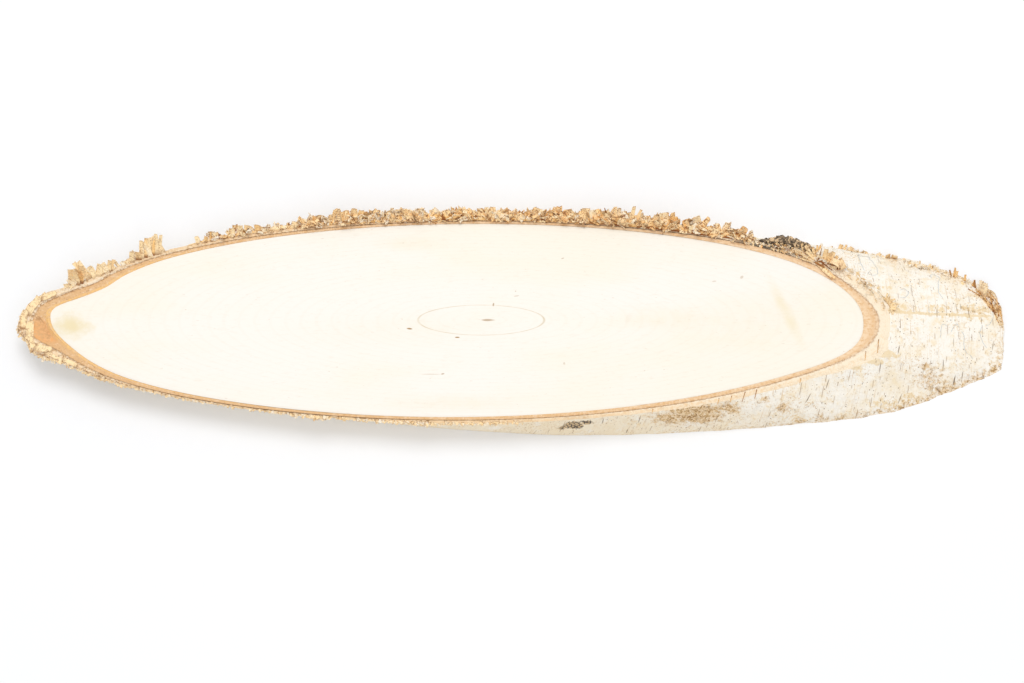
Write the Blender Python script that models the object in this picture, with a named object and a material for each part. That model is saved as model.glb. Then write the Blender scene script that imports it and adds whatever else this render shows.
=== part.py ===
"""Birch wood slice: a young trunk sawn through twice at a low slant, so that it lies as a long oval.

The trunk's axis runs down towards +X. Every outline starts as a radius round the pith, in the plane
square to that axis, and the slanted saw cut stretches it lengthwise. The lower oval lies further
along +X than the upper one, and the bark leans from one to the other.
"""

import bisect
import math
import random

import bmesh
import bpy
import numpy as np
from mathutils import Matrix, Vector, noise

# Driving dimensions, in metres
THICKNESS = 0.019
CUT_ANGLE = math.radians(14.3)
FIT_GAP = 0.0003

# The pith on the upper face, which puts the origin under the middle of the slice
PITH_X = -0.0156
PITH_Y = -0.0022

# How far the trunk's axis strays towards -Y between the upper and the lower face
STRAY = 0.0030

# The thin wedges of bark at both ends are broken off
RIGHT_BREAK = 0.2925
LEFT_BREAK = -0.2615
BREAK_CURVE = 0.0055
BREAK_CURVE_SPAN = 0.030
BREAK_ROUGHNESS = 0.0011
BREAK_GRAIN = 0.009
WOOD_INSET = 0.009
INNER_BARK_INSET = 0.004

# Layers round the trunk, by degrees from its upper side towards its far side, read off the photograph
WOOD_RADIUS = {
    0: 0.0518, 20: 0.0524, 45: 0.0546, 80: 0.0562, 140: 0.0573, 152: 0.0569, 160: 0.0564, 166: 0.0577,
    173: 0.0604, 181: 0.0604, 195: 0.0595, 215: 0.0597, 240: 0.0579, 265: 0.0558, 300: 0.0525,
    320: 0.0518, 340: 0.0527,
}
INNER_BARK = {
    0: 0.0017, 20: 0.0010, 50: 0.0018, 70: 0.0013, 120: 0.0010, 155: 0.0014, 165: 0.0026, 175: 0.0015,
    189: 0.0029, 198: 0.0016, 210: 0.0012, 250: 0.0012, 290: 0.0016, 335: 0.0011,
}
OUTER_BARK = {
    0: 0.0016, 20: 0.0024, 90: 0.0025, 130: 0.0017, 150: 0.0011, 165: 0.0023, 175: 0.0015, 182: 0.0018,
    190: 0.0014, 196: 0.0030, 205: 0.0017, 220: 0.0009, 250: 0.0009, 262: 0.0017, 290: 0.0020,
    304: 0.0028, 320: 0.0025, 338: 0.0033, 350: 0.0018,
}
# How much further out the outer bark lies at the lower face
FLARE = {
    0: 0.0, 24: 0.0012, 45: 0.0, 60: -0.0008, 75: 0.0, 240: 0.0, 275: -0.0008, 296: 0.0006,
    310: 0.0022, 335: -0.0006,
}

# Relief of the outer bark
SCAR_ANGLE = 45
SCAR_WIDTH = 4
SCAR_HEIGHT = 0.0016
RELIEF = 0.0006
RELIEF_SCALE = 0.012

# Torn bark along the rims
CURL_THICKNESS = 0.0008
CURL_STEPS = 3
CURL_SPACING = 0.0040
CURL_ROOT = 0.0003
CURL_TAPER = 0.6
CURL_WIDTHS = (0.0024, 0.0048)
CURL_LIFTS = (5, 60)
CURL_BENDS = (-30, 70)
CURL_TWIST = 50
CURL_UPRIGHT = 95
FLAP_DEPTH = 0.0020
FLAP_BEND = 25
FLAP_TWIST = 12
FAR_RIM_RADIUS = 0.0603

POINTS_ROUND = 200
LEVELS = (0.0, 0.004, 0.009, 0.014, 0.019)

STRETCH = 1.0 / math.sin(CUT_ANGLE)
SLIDE = 1.0 / math.tan(CUT_ANGLE)

SAPWOOD = (0.93, 0.86, 0.72)
BAST = (0.66, 0.42, 0.24)
PAPER_BARK = (0.86, 0.80, 0.70)


def around(table, angle):
    """The size at this angle, on the smooth closed curve through a table of sizes by degrees."""
    stops = list(table)
    count = len(stops)
    here = math.degrees(angle) % 360
    i = bisect.bisect_right(stops, here) - 1
    x = [stops[(i + k) % count] + 360 * ((i + k) // count) for k in (-1, 0, 1, 2)]
    y = [table[stops[(i + k) % count]] for k in (-1, 0, 1, 2)]
    width = x[2] - x[1]
    leave = width * (y[2] - y[0]) / (x[2] - x[0])
    arrive = width * (y[3] - y[1]) / (x[3] - x[1])
    t = (here - x[1]) / width
    rise = y[2] - y[1]
    return y[1] + t * (leave + t * (3 * rise - 2 * leave - arrive + t * (leave + arrive - 2 * rise)))


def bump(angle, centre_degrees, width_degrees):
    """1 at the centre, falling to nothing a few widths away round the trunk."""
    away = math.remainder(angle - math.radians(centre_degrees), 2 * math.pi)
    return math.exp(-((away / math.radians(width_degrees)) ** 2))


def wood_radius(angle):
    return around(WOOD_RADIUS, angle)


def inner_bark_radius(angle):
    return wood_radius(angle) + FIT_GAP + around(INNER_BARK, angle)


def outer_bark_radius(angle, depth):
    """The bark's outer surface, this far below the upper face."""
    share = depth / THICKNESS
    thickness = around(OUTER_BARK, angle)
    scar = SCAR_HEIGHT * bump(angle, SCAR_ANGLE, SCAR_WIDTH) * (1 - 0.6 * share)
    smooth = inner_bark_radius(angle) + FIT_GAP + thickness + scar + around(FLARE, angle) * share
    place = on_cut(smooth, angle, depth) / RELIEF_SCALE
    rough = min(1, (thickness / 0.0025) ** 2) + 2 * bump(angle, SCAR_ANGLE, SCAR_WIDTH)
    return smooth + RELIEF * rough * noise.noise(place)


def on_cut(radius, angle, depth):
    """The point of the trunk at this radius and angle, this far below the upper saw cut."""
    x = PITH_X + radius * math.cos(angle) * STRETCH + depth * SLIDE
    y = PITH_Y + radius * math.sin(angle) - depth / THICKNESS * STRAY
    return Vector((x, y, THICKNESS - depth))


def even_angles(count):
    """Angles round the trunk whose points stand nearly evenly along the oval, closer at its ends."""
    fine = np.linspace(0, 2 * math.pi, 4001)
    crowding = 0.6
    pace = np.hypot(np.sin(fine) * STRETCH * crowding, np.cos(fine))
    run = np.concatenate([[0], np.cumsum((pace[1:] + pace[:-1]) / 2)])
    return [float(a) for a in np.interp(np.arange(count) / count * run[-1], run, fine)]


def broken_ends(point, inset):
    """Keeps a point inside the two places where the bark's thin edge has snapped off."""
    jag = BREAK_ROUGHNESS * noise.noise(Vector((0, point.y / BREAK_GRAIN, point.z / BREAK_GRAIN)))
    curve = BREAK_CURVE * ((point.y - PITH_Y) / BREAK_CURVE_SPAN) ** 2
    x = min(point.x, PITH_X + RIGHT_BREAK - curve - inset + jag)
    x = max(x, PITH_X + LEFT_BREAK + inset + jag)
    return Vector((x, point.y, point.z))


def ring(radius_at, depth, inset):
    """One closed row of points round the slice, at one depth below the upper face."""
    return [broken_ends(on_cut(radius_at(a), a, depth), inset) for a in even_angles(POINTS_ROUND)]


def principled(name, colour, roughness):
    material = bpy.data.materials.new(name)
    material.use_nodes = True
    shader = material.node_tree.nodes["Principled BSDF"]
    shader.inputs["Base Color"].default_value = (*colour, 1)
    shader.inputs["Roughness"].default_value = roughness
    shader.inputs["Metallic"].default_value = 0
    return material


def object_from(bm, name, material, collection):
    bmesh.ops.recalc_face_normals(bm, faces=bm.faces)
    mesh = bpy.data.meshes.new(name)
    bm.to_mesh(mesh)
    bm.free()
    mesh.materials.append(material)
    made = bpy.data.objects.new(name, mesh)
    collection.objects.link(made)
    return made


def skin(name, rings, hollow, material, collection):
    """Stretches a wall over rows of points. A hollow one closes on itself, and another gets two caps."""
    bm = bmesh.new()
    rows = [[bm.verts.new(p) for p in row] for row in rings]
    pairs = list(zip(rows, rows[1:]))
    if hollow:
        pairs.append((rows[-1], rows[0]))
    else:
        bm.faces.new(rows[0][::-1])
        bm.faces.new(rows[-1])
    for low, high in pairs:
        for i in range(len(low)):
            j = (i + 1) % len(low)
            bm.faces.new((low[i], low[j], high[j], high[i]))
    return object_from(bm, name, material, collection)


def make_wood(material, collection):
    rings = [ring(wood_radius, THICKNESS - z, WOOD_INSET) for z in (0, THICKNESS)]
    return skin("wood", rings, False, material, collection)


def make_inner_bark(material, collection):
    def inside(angle):
        return wood_radius(angle) + FIT_GAP

    outer = [ring(inner_bark_radius, THICKNESS - z, INNER_BARK_INSET) for z in (0, THICKNESS)]
    inner = [ring(inside, THICKNESS - z, WOOD_INSET - FIT_GAP) for z in (THICKNESS, 0)]
    return skin("inner_bark", outer + inner, True, material, collection)


def make_outer_bark(material, collection):
    def inside(angle):
        return inner_bark_radius(angle) + FIT_GAP

    outer = []
    for z in LEVELS:
        depth = THICKNESS - z
        outer.append(ring(lambda a, d=depth: outer_bark_radius(a, d), depth, 0))
    inner = [ring(inside, THICKNESS - z, INNER_BARK_INSET - FIT_GAP) for z in (THICKNESS, 0)]
    return skin("outer_bark", outer + inner, True, material, collection)


def rim_frame(angle, depth):
    """A point in the outer bark, with the directions along the rim, out of the trunk's side and up it."""
    def middle(a):
        inner = inner_bark_radius(a) + FIT_GAP
        return on_cut(inner + 0.55 * around(OUTER_BARK, a), a, depth)

    small = 0.004
    along = (middle(angle + small) - middle(angle - small)).normalized()
    across = Vector((math.sin(CUT_ANGLE), 0, math.cos(CUT_ANGLE)))
    outward = across * math.cos(angle) + Vector((0, math.sin(angle), 0))
    return middle(angle), along, outward, outward.cross(along)


def curl(frame, length, width, lift, bend, twist):
    """A strip of torn bark: it leaves the rim at one lift and bends and twists on, all in degrees."""
    root, along, outward, upward = frame
    bm = bmesh.new()
    rows = []
    centre = root - outward * CURL_ROOT
    for step in range(CURL_STEPS + 1):
        share = step / CURL_STEPS
        tilt = math.radians(lift + bend * share)
        way = outward * math.cos(tilt) + upward * math.sin(tilt)
        side = Matrix.Rotation(math.radians(twist * share), 3, way) @ along
        flat = way.cross(side)
        half = 0.5 * width * (1 - CURL_TAPER * share)
        thick = 0.5 * CURL_THICKNESS
        corners = [(-half, -thick), (half, -thick), (half, thick), (-half, thick)]
        rows.append([bm.verts.new(centre + side * s + flat * f) for s, f in corners])
        centre = centre + way * length / CURL_STEPS
    bm.faces.new(rows[0][::-1])
    bm.faces.new(rows[-1])
    for low, high in zip(rows, rows[1:]):
        for i in range(4):
            j = (i + 1) % 4
            bm.faces.new((low[i], low[j], high[j], high[i]))
    return bm


def far_angle(x, depth):
    """The angle of the far rim at this distance along the slice from the pith."""
    return math.acos(max(-1, min(1, (x - depth * SLIDE) / STRETCH / FAR_RIM_RADIUS)))


# Runs of torn bark along the far rim: from and to, by distance from the pith, its depth and its length
RUNS = (
    (-0.233, -0.185, 0.0014, 0.0052),
    (-0.185, -0.160, 0.0020, 0.0020),
    (-0.160, 0.150, 0.0024, 0.0062),
    (0.150, 0.196, 0.0040, 0.0050),
    (0.200, 0.282, 0.0170, 0.0036),
)

# Torn bark that stands out from the rest: distance from the pith, length, width, lift in degrees
FLAPS = (
    (-0.231, 0.0090, 0.0060, 50),
    (-0.226, 0.0130, 0.0075, 62),
    (-0.209, 0.0070, 0.0050, 40),
    (-0.193, 0.0100, 0.0040, 45),
    (-0.188, 0.0125, 0.0040, 48),
    (-0.183, 0.0130, 0.0042, 55),
    (-0.096, 0.0090, 0.0050, 40),
    (-0.084, 0.0090, 0.0048, 45),
    (0.078, 0.0120, 0.0034, 48),
    (0.084, 0.0130, 0.0030, 40),
    (0.186, 0.0090, 0.0048, 55),
    (0.192, 0.0100, 0.0040, 48),
)


def make_curls(material, collection):
    draw = random.Random(21)
    for start, end, deepest, longest in RUNS:
        x = start
        while x < end:
            length = longest * draw.uniform(0.7, 1.35)
            width = draw.uniform(*CURL_WIDTHS)
            lift = draw.uniform(*CURL_LIFTS)
            bend = min(draw.uniform(*CURL_BENDS), CURL_UPRIGHT - lift)
            twist = draw.uniform(-CURL_TWIST, CURL_TWIST)
            depth = deepest * draw.uniform(0.7, 1.1)
            bm = curl(rim_frame(far_angle(x, depth), depth), length, width, lift, bend, twist)
            object_from(bm, "curl", material, collection)
            x += CURL_SPACING * draw.uniform(0.6, 1.4)
    for x, length, width, lift in FLAPS:
        frame = rim_frame(far_angle(x, FLAP_DEPTH), FLAP_DEPTH)
        bm = curl(frame, length, width, lift, FLAP_BEND, FLAP_TWIST)
        object_from(bm, "flap", material, collection)


def fuse(target, pieces):
    """Joins a collection's objects to the target in one Boolean union, then removes them."""
    union = target.modifiers.new("fuse", "BOOLEAN")
    union.operation = "UNION"
    union.operand_type = "COLLECTION"
    union.collection = pieces
    union.solver = "MANIFOLD"
    bpy.context.view_layer.update()
    graph = bpy.context.evaluated_depsgraph_get()
    joined = bpy.data.meshes.new_from_object(target.evaluated_get(graph))
    target.modifiers.clear()
    target.data = joined
    keep_largest_shell(joined)
    for piece in list(pieces.objects):
        bpy.data.objects.remove(piece)
    bpy.data.collections.remove(pieces)


def keep_largest_shell(mesh):
    """Fills the small hollows that fusing seals, and drops loose scraps: one closed surface stays."""
    bm = bmesh.new()
    bm.from_mesh(mesh)
    bmesh.ops.triangulate(bm, faces=bm.faces)
    left = set(bm.faces)
    shells = []
    while left:
        shell, reached = [], [left.pop()]
        while reached:
            face = reached.pop()
            shell.append(face)
            near = {f for e in face.edges if len(e.link_faces) == 2 for f in e.link_faces} & left
            left -= near
            reached.extend(near)
        shells.append(shell)
    shells.sort(key=len)
    for shell in shells[:-1]:
        bmesh.ops.delete(bm, geom=shell, context="FACES")
    bm.to_mesh(mesh)
    bm.free()


def shade(made):
    made.data.shade_smooth()
    made.data.set_sharp_from_angle(angle=math.radians(35))


def main():
    for old in list(bpy.data.objects):
        bpy.data.objects.remove(old)
    slice_parts = bpy.data.collections.new("birch_wood_slice")
    torn_bark = bpy.data.collections.new("torn_bark")
    bpy.context.scene.collection.children.link(slice_parts)
    bpy.context.scene.collection.children.link(torn_bark)

    wood = make_wood(principled("sapwood", SAPWOOD, 0.6), slice_parts)
    inner_bark = make_inner_bark(principled("bast", BAST, 0.8), slice_parts)
    paper = principled("paper_bark", PAPER_BARK, 0.75)
    outer_bark = make_outer_bark(paper, slice_parts)
    make_curls(paper, torn_bark)
    fuse(outer_bark, torn_bark)
    for made in (wood, inner_bark, outer_bark):
        shade(made)


main()
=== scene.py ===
import math

import bpy
import numpy as np
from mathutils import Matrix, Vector, noise


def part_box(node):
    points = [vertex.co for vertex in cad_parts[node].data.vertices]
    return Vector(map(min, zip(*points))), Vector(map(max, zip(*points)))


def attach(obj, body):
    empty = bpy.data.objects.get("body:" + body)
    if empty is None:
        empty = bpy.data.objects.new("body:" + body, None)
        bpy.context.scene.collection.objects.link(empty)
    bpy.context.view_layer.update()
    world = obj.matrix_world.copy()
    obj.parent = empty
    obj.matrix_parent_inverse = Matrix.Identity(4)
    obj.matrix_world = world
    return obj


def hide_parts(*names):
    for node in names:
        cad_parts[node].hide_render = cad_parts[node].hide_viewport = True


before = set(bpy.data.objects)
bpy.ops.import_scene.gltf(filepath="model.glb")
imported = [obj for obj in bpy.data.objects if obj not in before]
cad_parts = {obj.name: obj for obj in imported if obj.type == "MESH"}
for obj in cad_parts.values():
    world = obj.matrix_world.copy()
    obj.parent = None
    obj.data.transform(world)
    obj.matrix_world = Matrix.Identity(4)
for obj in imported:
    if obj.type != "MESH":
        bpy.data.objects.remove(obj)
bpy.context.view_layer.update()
print("frame loaded:", ", ".join(sorted(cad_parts)))

# The slice is a young birch trunk sawn through twice at a low slant. A place on it is an angle round
# the trunk (0 = upper side, 90 = far side, degrees), a depth below the upper saw cut and a radius
# from the pith, square to the trunk. All sizes are metres.

trunk = {
    "cutAngle": math.radians(14.3),
    "axisStray": 0.0030,      # how far the axis strays towards -Y between the two saw cuts
    "fitGap": 0.0003,         # clearance between the layers
    "rightBreak": 0.2925,     # where the thin wedges of bark have snapped off, from the pith
    "leftBreak": -0.2615,
    "breakCurve": 0.0055,
    "breakSpan": 0.030,
    "breakJag": 0.0011,
    "breakGrain": 0.009,
    "fineJag": 0.0006,
    "fineGrain": 0.0022,
    "woodInset": 0.009,
    "bastInset": 0.004,
    "girth": 2 * math.pi * 0.058,      # once round the bark, which gives the unrolled skin its width
}
woodRadius = {
    0: 0.0518, 20: 0.0524, 45: 0.0546, 80: 0.0562, 140: 0.0573, 152: 0.0569, 160: 0.0564, 166: 0.0577,
    173: 0.0604, 181: 0.0604, 195: 0.0595, 215: 0.0597, 240: 0.0579, 265: 0.0558, 300: 0.0525,
    320: 0.0518, 340: 0.0527,
}
bastThickness = {
    0: 0.0017, 20: 0.0010, 50: 0.0018, 70: 0.0013, 120: 0.0010, 155: 0.0014, 165: 0.0026, 175: 0.0015,
    189: 0.0029, 198: 0.0016, 210: 0.0012, 250: 0.0012, 290: 0.0016, 335: 0.0011,
}
paperThickness = {
    0: 0.0016, 20: 0.0024, 90: 0.0025, 130: 0.0017, 150: 0.0011, 165: 0.0023, 175: 0.0015, 182: 0.0018,
    190: 0.0014, 196: 0.0030, 205: 0.0017, 220: 0.0009, 250: 0.0009, 262: 0.0017, 290: 0.0020,
    304: 0.0028, 320: 0.0025, 338: 0.0033, 350: 0.0018,
}
flare = {                     # how much further out the bark lies at the lower saw cut
    0: 0.0, 24: 0.0012, 45: 0.0, 60: -0.0008, 75: 0.0, 240: 0.0, 275: -0.0008, 296: 0.0006,
    310: 0.0022, 335: -0.0006,
}
barkRelief = {
    "swell": 0.0006, "swellScale": 0.012,
    "crinkle": 0.00022, "crinkleScale": 0.0032,
    "scarHeight": 0.0016, "scarAngle": 45, "scarWidth": 4,
}

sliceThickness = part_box("wood")[1].z
stretch = 1 / math.sin(trunk["cutAngle"])
slide = 1 / math.tan(trunk["cutAngle"])


def around(table, degrees):
    # the smooth closed curve through a table of sizes by degrees
    stops = np.array(list(table), float)
    sizes = np.array(list(table.values()), float)
    count = len(stops)
    here = np.mod(degrees, 360)
    first = np.searchsorted(stops, here, side="right") - 1
    x = [stops[(first + k) % count] + 360 * ((first + k) // count) for k in (-1, 0, 1, 2)]
    y = [sizes[(first + k) % count] for k in (-1, 0, 1, 2)]
    width = x[2] - x[1]
    leave = width * (y[2] - y[0]) / (x[2] - x[0])
    arrive = width * (y[3] - y[1]) / (x[3] - x[1])
    t = (here - x[1]) / width
    rise = y[2] - y[1]
    return y[1] + t * (leave + t * (3 * rise - 2 * leave - arrive + t * (leave + arrive - 2 * rise)))


def findPith():
    # the wood's own box gives the place of the pith on the upper saw cut
    low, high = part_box("wood")
    degrees = np.arange(0, 360, 0.25)
    radius = around(woodRadius, degrees)
    leftmost = (radius * np.cos(np.radians(degrees))).min() * stretch
    furthest = (radius * np.sin(np.radians(degrees))).max()
    return low.x - leftmost, high.y - furthest


pithX, pithY = findPith()


def onCut(radius, degrees, depth):
    angle = np.radians(degrees)
    x = pithX + radius * np.cos(angle) * stretch + depth * slide
    y = pithY + radius * np.sin(angle) - depth / sliceThickness * trunk["axisStray"]
    z = sliceThickness - depth + 0 * x
    return np.stack([x, y, z], -1)


def noiseAt(places, scale, octaves=1, shift=0.0):
    # smooth noise from -1 to 1 at each place
    flat = np.asarray(places, float).reshape(-1, 3) / scale + shift
    if octaves == 1:
        found = [noise.noise(Vector(p)) for p in flat]
    else:
        found = [noise.fractal(Vector(p), 0.9, 2.1, octaves) for p in flat]
    return np.array(found).reshape(np.shape(places)[:-1])


def smoothStep(low, high, value):
    t = np.clip((value - low) / (high - low), 0, 1)
    return t * t * (3 - 2 * t)


def bump(degrees, centre, width):
    away = np.mod(degrees - centre + 180, 360) - 180
    return np.exp(-((away / width) ** 2))


def withinBreaks(radius, degrees, depth, inset):
    # keeps a radius inside the two places where the thin edge of the bark has snapped off
    angle = np.radians(degrees)
    cosine = np.cos(angle)
    across = radius * np.sin(angle)
    place = np.stack([0 * across, across, sliceThickness - depth + 0 * across], -1)
    jag = trunk["breakJag"] * noiseAt(place, trunk["breakGrain"])
    jag = jag + trunk["fineJag"] * (noiseAt(place, trunk["fineGrain"]) - 0.5)
    right = trunk["rightBreak"] - trunk["breakCurve"] * (across / trunk["breakSpan"]) ** 2 - inset + jag
    left = trunk["leftBreak"] + inset - jag
    safe = np.where(np.abs(cosine) < 0.5, np.where(cosine < 0, -0.5, 0.5), cosine)
    allowed = (np.where(cosine > 0, right, left) - depth * slide) / (safe * stretch)
    return np.where(np.abs(cosine) > 0.5, np.minimum(radius, allowed), radius)


def woodEdge(degrees, depth):
    return withinBreaks(around(woodRadius, degrees), degrees, depth, trunk["woodInset"])


def bastEdge(degrees, depth):
    radius = around(woodRadius, degrees) + trunk["fitGap"] + around(bastThickness, degrees)
    return withinBreaks(radius, degrees, depth, trunk["bastInset"])


def paperInside(degrees, depth):
    radius = around(woodRadius, degrees) + around(bastThickness, degrees) + 2 * trunk["fitGap"]
    return withinBreaks(radius, degrees, depth, trunk["bastInset"] - trunk["fitGap"])


def barkOutside(degrees, depth):
    # the bark's outer surface: the solid's own swell, with a finer crinkle on top
    share = depth / sliceThickness
    thickness = around(paperThickness, degrees)
    scar = bump(degrees, barkRelief["scarAngle"], barkRelief["scarWidth"])
    smooth = around(woodRadius, degrees) + around(bastThickness, degrees) + 2 * trunk["fitGap"]
    smooth = smooth + thickness + barkRelief["scarHeight"] * scar * (1 - 0.6 * share)
    smooth = smooth + around(flare, degrees) * share
    place = onCut(smooth, degrees, depth)
    rough = np.minimum(1, (thickness / 0.0025) ** 2) + 2 * scar
    swell = barkRelief["swell"] * rough * noiseAt(place, barkRelief["swellScale"])
    crinkle = barkRelief["crinkle"] * rough * noiseAt(place, barkRelief["crinkleScale"], 4)
    return withinBreaks(smooth + swell + crinkle, degrees, depth, 0)


def alongTrunk(points):
    # distance along the trunk's axis from the pith, for the unrolled bark
    x = points[..., 0] - pithX
    return x * math.cos(trunk["cutAngle"]) + (sliceThickness - points[..., 2]) * math.sin(trunk["cutAngle"])


def evenAngles(count, start=-180.0):
    # angles whose points stand nearly evenly along the oval
    fine = np.linspace(0, 2 * math.pi, 4001)
    crowding = 0.6
    pace = np.hypot(np.sin(fine) * stretch * crowding, np.cos(fine))
    run = np.concatenate([[0], np.cumsum((pace[1:] + pace[:-1]) / 2)])
    return start + np.degrees(np.interp(np.arange(count) / count * run[-1], run, fine))


def meshObject(name, points, faces, smoothBelow=35):
    mesh = bpy.data.meshes.new(name)
    mesh.from_pydata(np.asarray(points).tolist(), [], faces)
    mesh.validate()
    mesh.update()
    mesh.shade_smooth()
    mesh.set_sharp_from_angle(angle=math.radians(smoothBelow))
    made = bpy.data.objects.new(name, mesh)
    bpy.context.scene.collection.objects.link(made)
    return made


def gridFaces(rows, columns, closeRows, closeColumns):
    # the vertex numbers of a grid's faces, with its rows and columns closed on themselves or not
    lastRow = rows if closeRows else rows - 1
    lastColumn = columns if closeColumns else columns - 1
    faces = []
    for r in range(lastRow):
        low = r * columns
        high = (r + 1) % rows * columns
        for c in range(lastColumn):
            d = (c + 1) % columns
            faces.append((low + c, high + c, high + d, low + d))
    return faces


def storeFloat(obj, name, values):
    layer = obj.data.attributes.new(name, "FLOAT", "POINT")
    layer.data.foreach_set("value", np.asarray(values, np.float32).ravel())


def storeVector(obj, name, values):
    layer = obj.data.attributes.new(name, "FLOAT_VECTOR", "POINT")
    layer.data.foreach_set("vector", np.asarray(values, np.float32).ravel())


def storeUnrolled(obj, columns, lengthRound, other):
    # a UV map in metres; the last column of faces runs on past the seam instead of back over it
    mesh = obj.data
    layer = mesh.uv_layers.new(name="unrolled")
    corner = np.empty(len(mesh.loops), np.int32)
    mesh.loops.foreach_get("vertex_index", corner)
    start = np.empty(len(mesh.polygons), np.int32)
    total = np.empty(len(mesh.polygons), np.int32)
    mesh.polygons.foreach_get("loop_start", start)
    mesh.polygons.foreach_get("loop_total", total)
    column = corner % columns
    face = np.repeat(np.arange(len(start)), total)
    wraps = np.zeros(len(start), bool)
    np.logical_or.at(wraps, face, column == columns - 1)
    u = lengthRound[column]
    u = np.where(wraps[face] & (column == 0), u + trunk["girth"], u)
    layer.data.foreach_set("uv", np.stack([u, other.ravel()[corner]], -1).astype(np.float32).ravel())


# Node helpers, for shaders and Geometry Nodes alike

def wire(tree, kind, inputs, output=0, **settings):
    node = tree.nodes.new(kind)
    for name, value in settings.items():
        setattr(node, name, value)
    for key, value in inputs.items():
        if isinstance(value, bpy.types.NodeSocket):
            tree.links.new(value, node.inputs[key])
        else:
            node.inputs[key].default_value = value
    return node.outputs[output]


def treeOf(*values):
    # the node tree of the first socket among the values
    return next(value.id_data for value in values if isinstance(value, bpy.types.NodeSocket))


def calc(operation, *values):
    return wire(treeOf(*values), "ShaderNodeMath", dict(enumerate(values)), operation=operation)


def plus(first, second):
    return calc("ADD", first, second)


def minus(first, second):
    return calc("SUBTRACT", first, second)


def times(first, second):
    return calc("MULTIPLY", first, second)


def vec(operation, *values):
    single = operation in ("LENGTH", "DISTANCE", "DOT_PRODUCT")
    return wire(treeOf(*values), "ShaderNodeVectorMath", dict(enumerate(values)), int(single),
                operation=operation)


def scaled(vector, factor):
    return wire(treeOf(vector), "ShaderNodeVectorMath", {0: vector, "Scale": factor}, operation="SCALE")


def remap(value, low, high, toLow=0.0, toHigh=1.0):
    inputs = {"Value": value, "From Min": low, "From Max": high, "To Min": toLow, "To Max": toHigh}
    return wire(treeOf(value), "ShaderNodeMapRange", inputs, interpolation_type="SMOOTHSTEP", clamp=True)


def colourMix(share, first, second, blend="MIX"):
    tree = treeOf(share, first, second)
    first = first if isinstance(first, bpy.types.NodeSocket) else (*first, 1)
    second = second if isinstance(second, bpy.types.NodeSocket) else (*second, 1)
    inputs = {0: share, 6: first, 7: second}
    return wire(tree, "ShaderNodeMix", inputs, 2, data_type="RGBA", blend_type=blend, clamp_factor=True)


def speckle(vector, scale, detail=3.0, roughness=0.5, distortion=0.0):
    inputs = {"Vector": vector, "Scale": scale, "Detail": detail, "Roughness": roughness,
              "Distortion": distortion}
    return wire(treeOf(vector), "ShaderNodeTexNoise", inputs)


def speckleColour(vector, scale, detail=2.0):
    # three noises at once, centred on zero, to shift a pattern or a surface with
    inputs = {"Vector": vector, "Scale": scale, "Detail": detail}
    return vec("SUBTRACT", wire(treeOf(vector), "ShaderNodeTexNoise", inputs, 1), (0.5, 0.5, 0.5))


def split(vector, kind="ShaderNodeSeparateXYZ"):
    # the three parts of a vector or of a colour
    return wire(treeOf(vector), kind, {0: vector}, slice(3))


def cellEdge(place, scale, warpScale, warpBy):
    # the distance from the edges of wavering cells
    warped = vec("ADD", place, scaled(speckleColour(place, warpScale), warpBy))
    inputs = {"Vector": warped, "Scale": scale}
    return wire(treeOf(place), "ShaderNodeTexVoronoi", inputs, "Distance", feature="DISTANCE_TO_EDGE")


def oval(place, centre, turn, halves, outer, inner, strength):
    # an oval mark, which starts at the share `outer` of its half sizes and is full at `inner`
    inputs = {"Vector": place, "Location": (*centre, 0), "Rotation": (0, 0, turn), "Scale": (*halves, 1)}
    local = wire(treeOf(place), "ShaderNodeMapping", inputs, vector_type="TEXTURE")
    return remap(vec("LENGTH", stretched(local, (1, 1, 0))), outer, inner, 0.0, strength)


def attribute(tree, name, output="Fac"):
    return wire(tree, "ShaderNodeAttribute", {}, output, attribute_name=name)


def stretched(vector, factors):
    return vec("MULTIPLY", vector, factors)


def newMaterial(name):
    material = bpy.data.materials.new(name)
    material.use_nodes = True
    return material, material.node_tree, material.node_tree.nodes["Principled BSDF"]


def finishMaterial(material, tree, shader, colour, roughness, height=None, bumpDepth=0.0005, strength=0.5):
    tree.links.new(colour, shader.inputs["Base Color"])
    shader.inputs["Roughness"].default_value = roughness
    shader.inputs["Specular IOR Level"].default_value = 0.25
    if height is not None:
        inputs = {"Height": height, "Distance": bumpDepth, "Strength": strength}
        tree.links.new(wire(tree, "ShaderNodeBump", inputs), shader.inputs["Normal"])
    return material


def objectPlace(tree):
    return wire(tree, "ShaderNodeTexCoord", {}, "Object")


def trunkPlace(tree):
    # object coordinates turned so that X runs along the trunk and its pith is the zero line
    tilt = trunk["cutAngle"]
    location = (
        -pithX * math.cos(tilt) + sliceThickness * math.sin(tilt),
        -pithY,
        -pithX * math.sin(tilt) - sliceThickness * math.cos(tilt),
    )
    inputs = {"Vector": objectPlace(tree), "Location": location, "Rotation": (0, -tilt, 0)}
    return wire(tree, "ShaderNodeMapping", inputs, vector_type="POINT")


# Camera: the photograph looks down at the slice from its near side

cameraSetup = {
    "elevation": math.radians(75),
    "distance": 1.3477,
    "lens": 85,
    "sensor": 36,
    "aimFromPith": (0.014, -0.0124),
}


def makeCamera():
    aimX, aimY = cameraSetup["aimFromPith"]
    aim = Vector((pithX + aimX, pithY + aimY, sliceThickness))
    lift = cameraSetup["elevation"]
    away = Vector((0, -math.cos(lift), math.sin(lift)))
    data = bpy.data.cameras.new("photoCamera")
    data.lens = cameraSetup["lens"]
    data.sensor_width = cameraSetup["sensor"]
    camera = bpy.data.objects.new("photoCamera", data)
    camera.location = aim + away * cameraSetup["distance"]
    camera.rotation_euler = (math.pi / 2 - lift, 0, 0)
    bpy.context.scene.collection.objects.link(camera)
    bpy.context.scene.camera = camera


# Wood

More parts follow.
